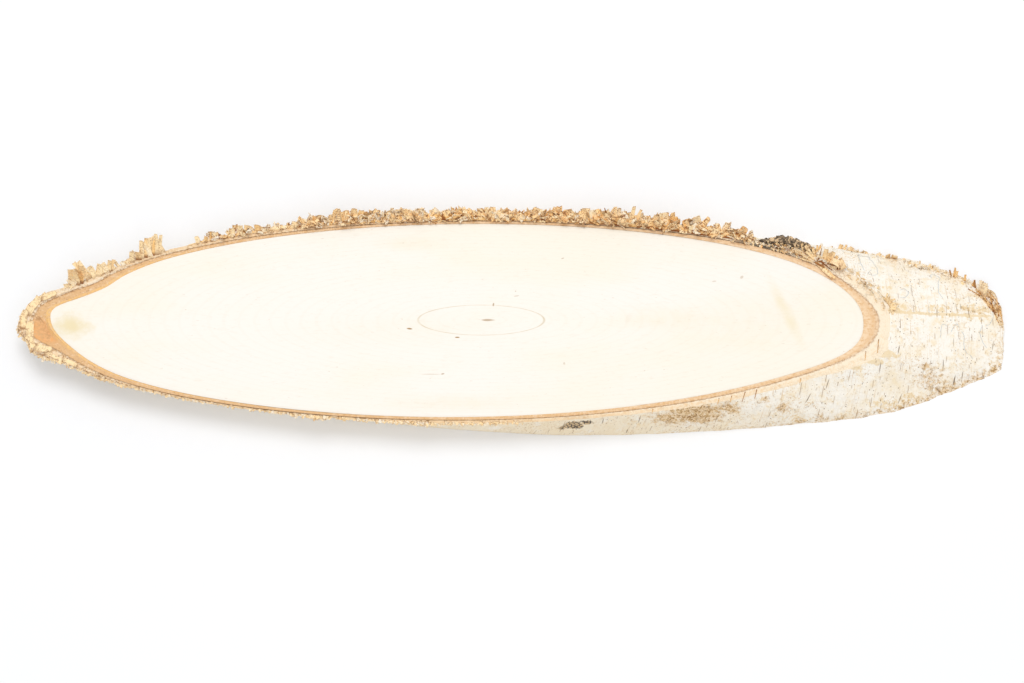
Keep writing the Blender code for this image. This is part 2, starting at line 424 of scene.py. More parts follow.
woodLook = {
    "pale": (0.910, 0.864, 0.798),
    "warm": (0.900, 0.840, 0.715),
    "yellow": (0.80, 0.66, 0.36),
    "ringTan": (0.56, 0.43, 0.22),
    "pithBrown": (0.42, 0.24, 0.10),
    "fleckBrown": (0.42, 0.27, 0.13),
    "ringRadius": 0.0087,
    "ringLine": 0.00026,
    "ringStray": 0.0008,        # the coloured ring isn't quite round the pith
    "pithRadius": 0.0006,
    "ringStep": 0.0021,
    "patchFromPith": (-0.232, -0.004),
    "patchShape": (1, 1.6, 0),
    "patchReach": (0.023, 0.010),
    "patchRag": 0.016,
    "eased": 0.00025,           # how much the edges of the saw cuts are eased
}
woodMarks = {                  # x and y from the pith, half length, half width, turn in degrees, strength
    "pithSmear": (0.0008, 0.0, 0.0048, 0.0007, 0, 0.45),
    "pithTick": (0.0036, 0.0090, 0.0013, 0.0006, 80, 0.75),
    "fleckLeft": (-0.0432, -0.0050, 0.0020, 0.0006, -6, 1.0),
    "fleckLow": (-0.0165, -0.0100, 0.0017, 0.0005, 0, 1.0),
    "fleckNear": (-0.0245, -0.0310, 0.0012, 0.0005, 10, 0.7),
    "lineNear": (-0.0310, -0.0312, 0.0070, 0.0003, 0, 0.35),
    "fleckFar": (0.0165, 0.0140, 0.0020, 0.0004, 8, 0.4),
    "fleckFarRight": (0.0425, 0.0360, 0.0012, 0.0004, 20, 0.5),
    "faintPatch": (0.0790, 0.0010, 0.0036, 0.0020, 60, 0.05),
    "fleckRight": (0.1430, 0.0250, 0.0014, 0.0010, 40, 0.40),
    "fleckUpRight": (0.1275, 0.0226, 0.0016, 0.0005, 5, 0.35),
    "dotPair": (0.0160, 0.0168, 0.0005, 0.0004, 0, 0.5),
    "dotLow": (0.0430, -0.0250, 0.0008, 0.0009, 0, 0.35),
}
woodTints = {                  # wide yellowish clouds, listed as the marks are
    "streakRight": (0.1670, 0.0050, 0.0300, 0.0050, -66, 0.42),
    "cloudMid": (0.0980, 0.0010, 0.0420, 0.0110, 0, 0.20),
    "cloudRight": (0.1500, -0.0020, 0.0600, 0.0280, 10, 0.16),
    "cloudLow": (-0.0500, -0.0060, 0.0900, 0.0160, 2, 0.10),
    "farMottle": (-0.0450, 0.0450, 0.0330, 0.0070, 0, 0.20),
    "nearMottle": (-0.0150, -0.0480, 0.0620, 0.0080, 0, 0.20),
}


def spot(place, name, softness=0.5):
    # an elongated mark on the upper saw cut, 1 in its middle
    x, y, length, width, turn, strength = {**woodMarks, **woodTints}[name]
    return oval(place, (pithX + x, pithY + y), math.radians(turn), (length, width), 1.0, 1.0 - softness,
                strength)


def makeWoodMaterial():
    material, tree, shader = newMaterial("sapwoodCut")
    place = objectPlace(tree)
    inTrunk = trunkPlace(tree)
    waver = speckle(stretched(inTrunk, (0.15, 1, 1)), 60.0, 2.0)
    radius = vec("LENGTH", stretched(inTrunk, (0, 1, 1)))
    radius = plus(radius, times(minus(waver, 0.5), 0.0009))

    cloud = speckle(stretched(place, (0.35, 1, 1)), 26.0, 3.0)
    colour = colourMix(remap(cloud, 0.40, 0.72, 0.0, 0.75), woodLook["pale"], woodLook["warm"])

    # fibres run with the trunk, and the slant of the cut draws them out into long fine streaks
    fibre = speckle(stretched(inTrunk, (0.018, 1, 1)), 900.0, 3.0, 0.6)
    colour = colourMix(remap(fibre, 0.50, 0.80, 0.0, 0.09), colour, woodLook["ringTan"], "MULTIPLY")

    # year rings, hardly darker than the wood between them, and one that has coloured
    wave = calc("SINE", times(radius, 2 * math.pi / woodLook["ringStep"]))
    colour = colourMix(remap(wave, 0.60, 1.0, 0.0, 0.030), colour, woodLook["ringTan"])
    ringPlace = vec("ADD", stretched(inTrunk, (0, 1, 1)), (0, 0, woodLook["ringStray"]))
    off = calc("ABSOLUTE", minus(vec("LENGTH", ringPlace), woodLook["ringRadius"]))
    broken = remap(speckle(place, 120.0, 2.0), 0.30, 0.65, 0.25, 0.60)
    line = times(remap(off, woodLook["ringLine"], 0.0), broken)
    colour = colourMix(line, colour, woodLook["ringTan"])
    pith = remap(radius, woodLook["pithRadius"] * 1.6, woodLook["pithRadius"] * 0.4)
    colour = colourMix(times(pith, 0.5), colour, woodLook["pithBrown"])
    clouded = remap(speckle(place, 170.0, 3.0, 0.6), 0.30, 0.70, 0.60, 1.0)
    for name in woodTints:
        tint = times(spot(place, name, 1.0), clouded)
        colour = colourMix(tint, colour, woodLook["yellow"])

    # yellowed patch at the left end
    patchX, patchY = woodLook["patchFromPith"]
    patch = vec("SUBTRACT", place, (pithX + patchX, pithY + patchY, 0))
    patch = vec("LENGTH", stretched(patch, woodLook["patchShape"]))
    reach = plus(patch, times(speckle(place, 140.0, 4.0, 0.7), woodLook["patchRag"]))
    colour = colourMix(remap(reach, *woodLook["patchReach"], 0.0, 0.75), colour, woodLook["yellow"])

    # fine pores and a few brown flecks
    pores = speckle(stretched(inTrunk, (0.12, 1, 1)), 1500.0, 1.0)
    sparse = remap(speckle(place, 90.0, 2.0), 0.45, 0.65)
    colour = colourMix(times(remap(pores, 0.70, 0.80, 0.0, 0.30), sparse), colour, woodLook["fleckBrown"])
    for name in woodMarks:
        colour = colourMix(spot(place, name), colour, woodLook["fleckBrown"])
    return finishMaterial(material, tree, shader, colour, 0.72, fibre, 0.00012, 0.25)


def makeWood():
    # two sawn faces with a softened edge, and the wall between them
    degrees = evenAngles(360)
    shares = [s ** 0.8 for s in np.linspace(0.04, 0.96, 16)] + [0.992]
    eased = woodLook["eased"]
    rows = []

    def face(depth, order):
        for share in order:
            rows.append(onCut(woodEdge(degrees, depth) * share, degrees, depth + 0 * degrees))

    face(0.0, shares)
    for depth in (eased, *np.linspace(0, sliceThickness, 5)[1:-1], sliceThickness - eased):
        rows.append(onCut(woodEdge(degrees, depth), degrees, depth + 0 * degrees))
    face(sliceThickness, shares[::-1])
    points = np.array(rows)
    count = len(degrees)
    faces = gridFaces(len(rows), count, False, True)
    top = len(rows) * count
    points = np.concatenate([points.reshape(-1, 3), onCut(0.0, 0.0, 0.0)[None],
                             onCut(0.0, 0.0, sliceThickness)[None]])
    last = (len(rows) - 1) * count
    faces += [(top, c, (c + 1) % count) for c in range(count)]
    faces += [(top + 1, last + (c + 1) % count, last + c) for c in range(count)]
    wood = meshObject("woodSlice", points, faces)
    wood.data.materials.append(makeWoodMaterial())
    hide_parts("wood")
    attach(wood, "root")
    print("wood:", len(wood.data.polygons), "faces")


# Inner bark

bastLook = {
    "light": (0.880, 0.660, 0.440),
    "mid": (0.740, 0.460, 0.230),
    "dark": (0.300, 0.120, 0.040),
    "pocket": (0.840, 0.420, 0.160),
    "rim": (0.900, 0.560, 0.220),
    "columns": 900,
    "relief": 0.00018,
    "pocketAngle": 186,
    "pocketWidth": 7,
    "pocketDepth": 0.0026,
    "line": {             # how dark the broken line at its outer edge is, by degrees
        0: 0.25, 30: 0.30, 50: 0.45, 75: 0.5, 100: 0.9, 140: 1.0, 165: 0.8, 185: 0.5, 205: 0.35, 300: 0.25,
    },
    "deeper": {           # how much of the darker tan it has, by degrees
        0: 0.35, 40: 0.35, 90: 0.5, 130: 0.7, 150: 0.9, 190: 0.95, 215: 0.9, 270: 0.8, 310: 0.5, 340: 0.35,
    },
}


def makeBastMaterial():
    material, tree, shader = newMaterial("innerBark")
    place = trunkPlace(tree)
    share = attribute(tree, "share")
    streak = speckle(stretched(place, (0.06, 1, 1)), 700.0, 4.0, 0.65)
    grain = speckle(place, 700.0, 3.0, 0.6)
    tone = plus(times(streak, 0.5), times(grain, 0.5))
    deeper = minus(attribute(tree, "deeper"), 0.5)
    shifted = plus(tone, times(deeper, 0.22))
    colour = colourMix(remap(shifted, 0.40, 0.62), bastLook["light"], bastLook["mid"])
    # a darker band in its middle, then a broken dark line at its outer edge
    band = times(remap(share, 0.35, 0.70, 0.0, 0.45), remap(share, 0.98, 0.80))
    colour = colourMix(band, colour, bastLook["mid"])
    # brown grain where it is coarse, and a golden rim beside the wood
    coarse = remap(attribute(tree, "deeper"), 0.55, 0.90)
    pits = speckle(place, 950.0, 4.0, 0.7)
    pitted = times(remap(pits, 0.54, 0.68, 0.0, 0.55), coarse)
    colour = colourMix(pitted, colour, bastLook["dark"])
    rim = times(remap(share, 0.24, 0.06), remap(grain, 0.40, 0.60, 0.25, 0.9))
    colour = colourMix(times(rim, coarse), colour, bastLook["rim"])
    broken = times(remap(grain, 0.38, 0.62, 0.15, 1.0), attribute(tree, "line"))
    colour = colourMix(times(remap(share, 0.80, 0.97), broken), colour, bastLook["dark"])
    hollow = colourMix(remap(tone, 0.40, 0.62, 0.0, 0.8), bastLook["pocket"], bastLook["mid"])
    colour = colourMix(attribute(tree, "pocket"), colour, hollow)
    return finishMaterial(material, tree, shader, colour, 0.8, tone, 0.0004, 0.6)


def makeInnerBark():
    degrees = evenAngles(bastLook["columns"])
    pocket = bump(degrees, bastLook["pocketAngle"], bastLook["pocketWidth"])
    rows, shares, pockets = [], [], []

    def inside(depth):
        return withinBreaks(around(woodRadius, degrees) + 0.5 * trunk["fitGap"], degrees, depth,
                            trunk["woodInset"] - 0.5 * trunk["fitGap"])

    def across(depth, order, sink):
        for share in order:
            radius = inside(depth) * (1 - share) + bastEdge(degrees, depth) * share
            points = onCut(radius, degrees, depth + 0 * degrees)
            fall = sink * pocket * (1 - smoothStep(0.55, 1.0, share)) * smoothStep(0.0, 0.2, share)
            rough = bastLook["relief"] * (noiseAt(points, 0.0016, 3) - 0.6)
            lower = rough * math.sin(math.pi * share) - fall
            points[:, 2] += lower if depth == 0 else -np.minimum(rough, 0) * math.sin(math.pi * share)
            rows.append(points)
            shares.append(np.full(len(degrees), share))
            inPocket = smoothStep(0.30, 0.70, pocket) * smoothStep(0.12, 0.22, share)
            pockets.append(inPocket if depth == 0 else 0 * degrees)

    across(0.0, np.linspace(0, 1, 9), bastLook["pocketDepth"])
    for depth in np.linspace(0, sliceThickness, 6)[1:-1]:
        rows.append(onCut(bastEdge(degrees, depth), degrees, depth + 0 * degrees))
        shares.append(np.ones(len(degrees)))
        pockets.append(np.zeros(len(degrees)))
    across(sliceThickness, np.linspace(1, 0, 6), 0.0)
    depth = 0.5 * sliceThickness
    rows.append(onCut(inside(depth), degrees, depth + 0 * degrees))
    shares.append(np.zeros(len(degrees)))
    pockets.append(np.zeros(len(degrees)))
    points = np.array(rows)
    ring = meshObject("innerBarkRing", points.reshape(-1, 3), gridFaces(len(rows), len(degrees), True, True))
    storeFloat(ring, "share", np.array(shares))
    storeFloat(ring, "pocket", np.array(pockets))
    for name in ("line", "deeper"):
        storeFloat(ring, name, np.tile(around(bastLook[name], degrees), (len(rows), 1)))
    ring.data.materials.append(makeBastMaterial())
    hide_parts("inner_bark")
    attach(ring, "root")
    print("inner bark:", len(ring.data.polygons), "faces")


# Outer bark: the sawn edge of its paper layers, and the white skin with its marks

barkLook = {
    "columns": 1200,
    "skinRows": 58,
    "edgeRag": 0.00028,
    "edgeRagScale": 0.0014,
    "white": (0.955, 0.910, 0.825),
    "cream": (0.915, 0.770, 0.545),
    "beige": (0.925, 0.810, 0.620),
    "tan": (0.690, 0.480, 0.270),
    "lenticel": (0.430, 0.270, 0.140),
    "speck": (0.200, 0.120, 0.060),
    "stain": (0.740, 0.470, 0.190),
    "stainDeep": (0.290, 0.140, 0.038),
    "soot": (0.070, 0.060, 0.050),
    "sootGap": (0.640, 0.460, 0.260),
    "gold": (0.850, 0.660, 0.390),
    "thread": (0.610, 0.640, 0.650),
    "threadRadius": 0.00017,
    "sectionPale": (0.925, 0.800, 0.620),
    "sectionTan": (0.860, 0.610, 0.355),
    "sectionDark": (0.360, 0.165, 0.055),
    "sectionTone": {      # from pale to tan round the sawn edge, by degrees
        0: 0.15, 25: 0.20, 50: 0.5, 90: 0.8, 140: 0.75, 160: 0.5, 172: 0.60, 185: 0.70, 200: 0.75, 215: 0.75,
        240: 0.90, 265: 0.9, 290: 0.6, 320: 0.40, 345: 0.20,
    },
    "crumbs": {           # how crumbled the sawn edge is, and so how much painted shade lies in the gaps between its crumbs, by degrees
        0: 0.10, 30: 0.35, 90: 0.8, 150: 0.3, 165: 0.30, 178: 0.7, 200: 0.7, 220: 0.9, 240: 1.0, 262: 1.0,
        275: 0.35, 300: 0.15, 340: 0.15,
    },
    "shadedSide": {        # where the skin is painted a greyer beige as shade, most on the near side, which is turned from the key light, by degrees
        0: 0.0, 40: 0.0, 90: 0.4, 180: 0.7, 240: 1.0, 275: 1.0, 290: 0.6, 305: 0.15, 330: 0.0,
    },
}
goldLine = {"along": (0.214, 0.242, 0.280), "angle": (4.9, 6.3, 9.1), "width": 0.0009, "fade": 0.004}
lowerEdge = {             # brown gathers at the lower rim, near side and right end
    "from": 0.0135, "strength": {0: 0.25, 15: 0.45, 30: 0.4, 60: 0.1, 250: 0.1, 285: 0.25, 300: 0.42,
                                 335: 0.45, 350: 0.3},
}
barkStrokes = {                # angle and distance along the trunk at both ends, half width, strength
    "brown": [
        (-8, 0.2139, -17, 0.2133, 0.00030, 0.80), (-18, 0.2057, -22, 0.2055, 0.00045, 0.80),
        (-14, 0.2236, -19, 0.2227, 0.00040, 0.75), (-24, 0.2130, -30, 0.2133, 0.00035, 0.80),
        (-19, 0.2502, -25, 0.2505, 0.00035, 0.75), (-27, 0.2584, -33, 0.2580, 0.00050, 0.90),
        (-24, 0.2626, -29, 0.2626, 0.00035, 0.75), (-35, 0.2482, -38, 0.2530, 0.00060, 0.85),
        (-40, 0.2288, -46, 0.2274, 0.00035, 0.70), (-36, 0.1848, -42, 0.1840, 0.00035, 0.75),
        (-45, 0.1758, -51, 0.1736, 0.00035, 0.75), (-23, 0.2395, -24, 0.2395, 0.00070, 0.85),
        (-70, 0.0830, -76, 0.0832, 0.00035, 0.75), (-75, 0.0630, -80, 0.0634, 0.00035, 0.75),
        (-83, 0.0793, -87, 0.0795, 0.00035, 0.75), (18, 0.2335, 25, 0.2335, 0.00022, 0.55),
        (7, 0.2341, 18, 0.2335, 0.00022, 0.45), (15, 0.2586, 9, 0.2597, 0.00025, 0.60),
        (15, 0.2618, 11, 0.2615, 0.00025, 0.60), (-6, 0.2563, -12, 0.2561, 0.00030, 0.50),
        (-7, 0.2802, -11, 0.2799, 0.00040, 0.50), (5, 0.2420, 12, 0.2422, 0.00022, 0.55),
        (6, 0.2470, 11, 0.2474, 0.00022, 0.50), (8, 0.2660, 14, 0.2664, 0.00022, 0.50),
    ],
}
looseThreads = [               # angle and depth at the turns of each thread of loose paper
    [(44, 0.0086), (37, 0.0056), (32, 0.0035)],
    [(44, 0.0088), (42, 0.0092), (39, 0.0083), (33, 0.0058), (29, 0.0037), (30, 0.0033), (33, 0.0050)],
    [(20, 0.0043), (21, 0.0051), (18, 0.0047), (15, 0.0035), (15, 0.0030)],
    [(31, 0.0125), (34, 0.0140), (32, 0.0142), (27, 0.0120), (21, 0.0099), (17, 0.0093)],
    [(-7, 0.0077), (0, 0.0076), (1, 0.0079), (0, 0.0084)],
    [(-3, 0.0090), (0, 0.0092), (2, 0.0096), (0, 0.0101)],
    [(-2, 0.0105), (-5, 0.0110), (-9, 0.0113), (-13, 0.0120), (-15, 0.0130), (-17, 0.0138)],
    [(3, 0.0136), (-2, 0.0134), (-7, 0.0142), (-10, 0.0150)],
    [(3, 0.0141), (4, 0.0147), (7, 0.0152), (12, 0.0158)],
]
barkMarks = {                  # angle, distance along the trunk, half size round, half size along, strength
    "stain": [
        (-64.8, 0.113, 0.0062, 0.0140, 1.15),
        (-69.8, 0.100, 0.0046, 0.0100, 0.80),
        (-58.9, 0.131, 0.0035, 0.0070, 0.70),
        (-72.3, 0.094, 0.0020, 0.0050, 0.60),
        (-51.7, 0.151, 0.0026, 0.0030, 0.65),
        (-55.1, 0.162, 0.0030, 0.0040, 0.70),
        (-62.3, 0.174, 0.0030, 0.0040, 0.60),
        (-58.1, 0.184, 0.0025, 0.0035, 0.50),
        (-30.8, 0.245, 0.0070, 0.0090, 0.48),
        (-37.2, 0.253, 0.0050, 0.0016, 1.00),
        (-23.7, 0.2395, 0.0020, 0.0022, 0.80),
        (11.0, 0.268, 0.0030, 0.0120, 0.34),
        (-44.5, 0.239, 0.0028, 0.0030, 0.60),
        (23.7, 0.277, 0.0040, 0.0060, 0.75),
        (26.4, 0.284, 0.0030, 0.0060, 0.90),
        (6.7, 0.286, 0.0060, 0.0022, 0.70),
        (14.0, 0.284, 0.0060, 0.0022, 0.80),
        (25.8, 0.238, 0.0010, 0.0010, 0.80),
    ],
    "soot": [
        (-88.0, 0.0425, 0.0026, 0.0020, 0.8),
        (-84.0, 0.0480, 0.0036, 0.0050, 1.0),
        (-79.5, 0.0545, 0.0020, 0.0036, 0.7),
        (45.0, 0.163, 0.0040, 0.0160, 0.9),
        (48.6, 0.152, 0.0040, 0.0160, 1.0),
        (43.0, 0.177, 0.0030, 0.0060, 0.6),
    ],
    "gold": [
        (8.4, 0.226, 0.0034, 0.0120, 0.52),
        (9.8, 0.248, 0.0034, 0.0140, 0.58),
        (12.2, 0.270, 0.0044, 0.0140, 0.66),
        (8.0, 0.262, 0.0030, 0.0200, 0.50),
        (-47.0, 0.2200, 0.0040, 0.0120, 0.60),
        (-42.0, 0.2360, 0.0034, 0.0090, 0.60),
        (-60.0, 0.1700, 0.0040, 0.0160, 0.50),
        (24.0, 0.232, 0.0024, 0.0030, 0.50),
        (20.5, 0.2185, 0.0016, 0.0040, 0.60),
        (-18.7, 0.2805, 0.0030, 0.0040, 0.5),
        (-19.5, 0.214, 0.0024, 0.0090, 0.95),
        (-24.0, 0.205, 0.0022, 0.0100, 0.95),
        (-28.5, 0.196, 0.0016, 0.0080, 0.85),
        (-14.0, 0.212, 0.0040, 0.0060, 0.45),
        (-76.5, 0.0815, 0.0040, 0.0120, 0.45),
        (0.0, 0.290, 0.0260, 0.0030, 0.5),
        (20.0, 0.282, 0.0080, 0.0080, 0.5),
    ],
}


def markStrength(name, degrees, along, depth):
    # how much of this kind of mark lies at each place on the unrolled bark
    total = np.zeros(np.shape(degrees))
    for angle, distance, girthwise, length, strength in barkMarks[name]:
        away = (np.mod(degrees - angle + 180, 360) - 180) / 360 * trunk["girth"] / girthwise
        total = np.maximum(total, strength * np.exp(-0.8 * (away ** 2 + ((along - distance) / length) ** 2)))
    if name == "gold":
        start, end = goldLine["along"][0], goldLine["along"][-1]
        middle = np.interp(along, goldLine["along"], goldLine["angle"])
        away = (degrees - middle) / 360 * trunk["girth"] / goldLine["width"]
        inside = smoothStep(start - goldLine["fade"], start + goldLine["fade"], along)
        inside *= 1 - smoothStep(end - goldLine["fade"], end + goldLine["fade"], along)
        total = np.maximum(total, 1.1 * inside * np.exp(-(away ** 2)))
    if name == "stain":
        low = smoothStep(lowerEdge["from"], sliceThickness, depth)
        total = np.maximum(total, low * around(lowerEdge["strength"], degrees))
    return total


def makeSectionMaterial():
    # laminated paper layers, cut across
    material, tree, shader = newMaterial("barkSection")
    place = trunkPlace(tree)
    share = attribute(tree, "share")
    grain = speckle(place, 650.0, 4.0, 0.7)
    across = wire(tree, "ShaderNodeCombineXYZ", {0: times(share, 9.0), 1: times(grain, 1.2)})
    layers = speckle(across, 1.0, 3.0, 0.6)
    tone = plus(times(layers, 0.5), times(grain, 0.5))
    shifted = plus(tone, times(minus(attribute(tree, "tan"), 0.5), 0.30))
    colour = colourMix(remap(shifted, 0.40, 0.64), barkLook["sectionPale"], barkLook["sectionTan"])
    # painted shade: dark gaps between the crumbs
    gapShade = times(remap(cellEdge(place, 520.0, 420.0, 0.0016), 0.10, 0.02), attribute(tree, "crumbs"))
    gapShade = times(gapShade, remap(speckle(place, 210.0, 2.0), 0.42, 0.58))
    colour = colourMix(times(gapShade, 0.8), colour, barkLook["sectionDark"])
    inner = times(remap(share, 0.14, 0.02), remap(grain, 0.40, 0.62, 0.05, 0.6))
    colour = colourMix(inner, colour, barkLook["sectionDark"])
    colour = colourMix(times(attribute(tree, "soot"), 0.9), colour, barkLook["soot"])
    height = minus(tone, gapShade)
    return finishMaterial(material, tree, shader, colour, 0.8, height, 0.0006, 0.7)


def dashes(unrolled, cell, length, width, keep, seed):
    # one short mark in some of the cells of the unrolled bark, lying round the trunk
    grid = vec("DIVIDE", vec("ADD", unrolled, (seed, seed * 0.7, 0)), (*cell, 1))
    inputs = {"Vector": grid, "Scale": 1.0, "Randomness": 0.85}
    cells = wire(treeOf(grid), "ShaderNodeTexVoronoi", inputs, voronoi_dimensions="2D").node
    away = split(stretched(vec("SUBTRACT", grid, cells.outputs["Position"]), (*cell, 0)))
    draws = split(cells.outputs["Color"], "ShaderNodeSeparateColor")
    half = times(length, plus(0.35, times(draws[0], 0.65)))
    x = calc("DIVIDE", calc("ABSOLUTE", away[0]), half)
    y = calc("DIVIDE", calc("ABSOLUTE", away[1]), width)
    far = plus(calc("POWER", x, 3.0), calc("POWER", y, 2.0))
    mark = remap(far, 1.15, 0.55)
    kept = calc("LESS_THAN", draws[1], keep)
    fade = plus(0.55, times(draws[2], 0.45))
    return times(times(mark, kept), fade)


def strokeMark(unrolled, stroke):
    # a narrow mark between two places on the unrolled bark, 1 in its middle
    fromAngle, fromAlong, toAngle, toAlong, width, strength = stroke
    u = [math.radians(angle) / (2 * math.pi) * trunk["girth"] for angle in (fromAngle, toAngle)]
    half = math.hypot(u[1] - u[0], toAlong - fromAlong) / 2
    turn = math.atan2(toAlong - fromAlong, u[1] - u[0])
    centre = (sum(u) / 2, (fromAlong + toAlong) / 2)
    return oval(unrolled, centre, turn, (half + width, width), 1.15, 0.45, strength)


def makeSkinMaterial():
    material, tree, shader = newMaterial("whiteBark")
    place = objectPlace(tree)
    unrolled = wire(tree, "ShaderNodeUVMap", {}, uv_map="unrolled")
    cloud = speckle(place, 42.0, 4.0, 0.6)
    # painted shade: the skin is mixed towards a greyer beige by the side table, most on the near side, which
    # is turned from the key light
    colour = colourMix(attribute(tree, "beige"), barkLook["white"], barkLook["beige"])
    colour = colourMix(remap(cloud, 0.45, 0.70, 0.0, 0.65), colour, barkLook["cream"])
    mottle = speckle(place, 210.0, 5.0, 0.68)
    colour = colourMix(remap(mottle, 0.46, 0.68, 0.0, 0.75), colour, barkLook["cream"])
    pale = speckle(place, 130.0, 4.0, 0.6)
    colour = colourMix(remap(pale, 0.54, 0.66, 0.0, 0.55), colour, barkLook["white"])

    # tan stipple, thicker in some regions than in others
    stipple = speckle(place, 950.0, 3.0, 0.6)
    region = remap(speckle(place, 60.0, 3.0, 0.6), 0.40, 0.66, 0.08, 0.80)
    colour = colourMix(times(remap(stipple, 0.52, 0.66), region), colour, barkLook["tan"])

    # fine lines round the trunk, where one paper layer ends and the next one shows
    lines = speckle(stretched(unrolled, (55, 1300, 0)), 1.0, 3.0, 0.6)
    lineRegion = remap(speckle(place, 75.0, 2.0), 0.42, 0.62, 0.15, 0.65)
    lined = times(remap(lines, 0.56, 0.70), lineRegion)
    colour = colourMix(lined, colour, barkLook["tan"])

    patchy = speckle(place, 420.0, 5.0, 0.72)
    noisy = times(minus(patchy, 0.5), 1.9)
    gold = remap(plus(attribute(tree, "gold"), noisy), 0.34, 0.62, 0.0, 0.75)
    colour = colourMix(gold, colour, barkLook["gold"])

    long = dashes(unrolled, (0.0110, 0.0070), 0.0036, 0.00026, 0.34, 3.1)
    short = dashes(unrolled, (0.0058, 0.0040), 0.0012, 0.00024, 0.26, 7.7)
    colour = colourMix(times(calc("MAXIMUM", long, short), 0.66), colour, barkLook["lenticel"])
    dots = dashes(unrolled, (0.0026, 0.0024), 0.00040, 0.00032, 0.26, 11.3)
    crowded = remap(speckle(place, 85.0, 2.0), 0.38, 0.56)
    colour = colourMix(times(dots, crowded), colour, barkLook["speck"])

    # the longer strokes that can be told apart in the photograph
    marked = None
    for stroke in barkStrokes["brown"]:
        mark = strokeMark(unrolled, stroke)
        marked = mark if marked is None else calc("MAXIMUM", marked, mark)
    colour = colourMix(marked, colour, barkLook["speck"])

    # brown stains, crusted and darker in their squiggles
    stained = plus(attribute(tree, "stain"), noisy)
    crust = speckle(stretched(place, (0.7, 1.0, 1.0)), 620.0, 4.0, 0.7, 1.4)
    brown = colourMix(remap(crust, 0.48, 0.62), barkLook["stain"], barkLook["stainDeep"])
    broken = remap(crust, 0.34, 0.58, 0.30, 1.0)
    colour = colourMix(times(remap(stained, 0.12, 0.68, 0.0, 0.95), broken), colour, brown)

    # black crackle
    edge = remap(cellEdge(place, 420.0, 300.0, 0.003), 0.14, 0.05)
    crackle = colourMix(edge, barkLook["sootGap"], barkLook["soot"])
    sooty = plus(attribute(tree, "soot"), times(noisy, 0.6))
    colour = colourMix(remap(sooty, 0.30, 0.45), colour, crackle)

    height = plus(times(lines, 0.6), times(mottle, 0.9))
    height = plus(height, times(patchy, 0.7))
    height = minus(height, calc("MAXIMUM", long, short))
    return finishMaterial(material, tree, shader, colour, 0.62, height, 0.0007, 0.6)


def makeOuterBark():
    degrees = evenAngles(barkLook["columns"])
    count = len(degrees)
    rows, shares, slots = [], [], []

    def section(depth, order):
        for share in order:
            outside = barkOutside(degrees, depth + 0 * degrees)
            radius = paperInside(degrees, depth) * (1 - share) + outside * share
            points = onCut(radius, degrees, depth + 0 * degrees)
            if depth == 0:
                rag = np.abs(noiseAt(points, barkLook["edgeRagScale"], 3))
                points[:, 2] -= barkLook["edgeRag"] * rag * share
            rows.append(points)
            shares.append(np.full(count, share))
            slots.append(0)

    section(0.0, np.linspace(0, 1, 9))
    for depth in np.linspace(0, sliceThickness, barkLook["skinRows"])[1:]:
        rows.append(onCut(barkOutside(degrees, depth + 0 * degrees), degrees, depth + 0 * degrees))
        shares.append(np.ones(count))
        slots.append(1)
    section(sliceThickness, np.linspace(1, 0, 5)[1:])
    for depth in (0.66 * sliceThickness, 0.33 * sliceThickness):
        rows.append(onCut(paperInside(degrees, depth), degrees, depth + 0 * degrees))
        shares.append(np.zeros(count))
        slots.append(0)
    points = np.array(rows)
    along = alongTrunk(points)
    bark = meshObject("outerBarkRing", points.reshape(-1, 3), gridFaces(len(rows), count, True, True))
    storeFloat(bark, "share", np.array(shares))
    depth = sliceThickness - points[..., 2]
    for name in barkMarks:
        storeFloat(bark, name, markStrength(name, degrees[None] + 0 * along, along, depth))
    for name, table in (("tan", "sectionTone"), ("crumbs", "crumbs"), ("beige", "shadedSide")):
        storeFloat(bark, name, np.tile(around(barkLook[table], degrees), (len(rows), 1)))
    storeUnrolled(bark, count, np.radians(degrees) / (2 * math.pi) * trunk["girth"], along)
    bark.data.materials.append(makeSectionMaterial())
    bark.data.materials.append(makeSkinMaterial())
    lastSection = slots.index(1) - 1
    skin = [lastSection <= r < lastSection + barkLook["skinRows"] - 1 for r in range(len(rows))]
    bark.data.polygons.foreach_set("material_index", np.repeat(np.array(skin, np.int32), count))
    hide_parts("outer_bark")
    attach(bark, "root")
    print("outer bark:", len(bark.data.polygons), "faces")


def throughTurns(turns, steps=8):
    # the smooth curve through a thread's turns
    turns = np.array(turns, float)
    ends = np.concatenate([2 * turns[:1] - turns[1:2], turns, 2 * turns[-1:] - turns[-2:-1]])
    curve = []
    for k in range(len(turns) - 1):
        a, b, c, d = ends[k:k + 4]
        for t in np.linspace(0, 1, steps, endpoint=False):
            bent = 2 * a - 5 * b + 4 * c - d + t * (3 * b - a - 3 * c + d)
            curve.append(0.5 * (2 * b + t * (c - a + t * bent)))
    return np.array(curve + [turns[-1]])


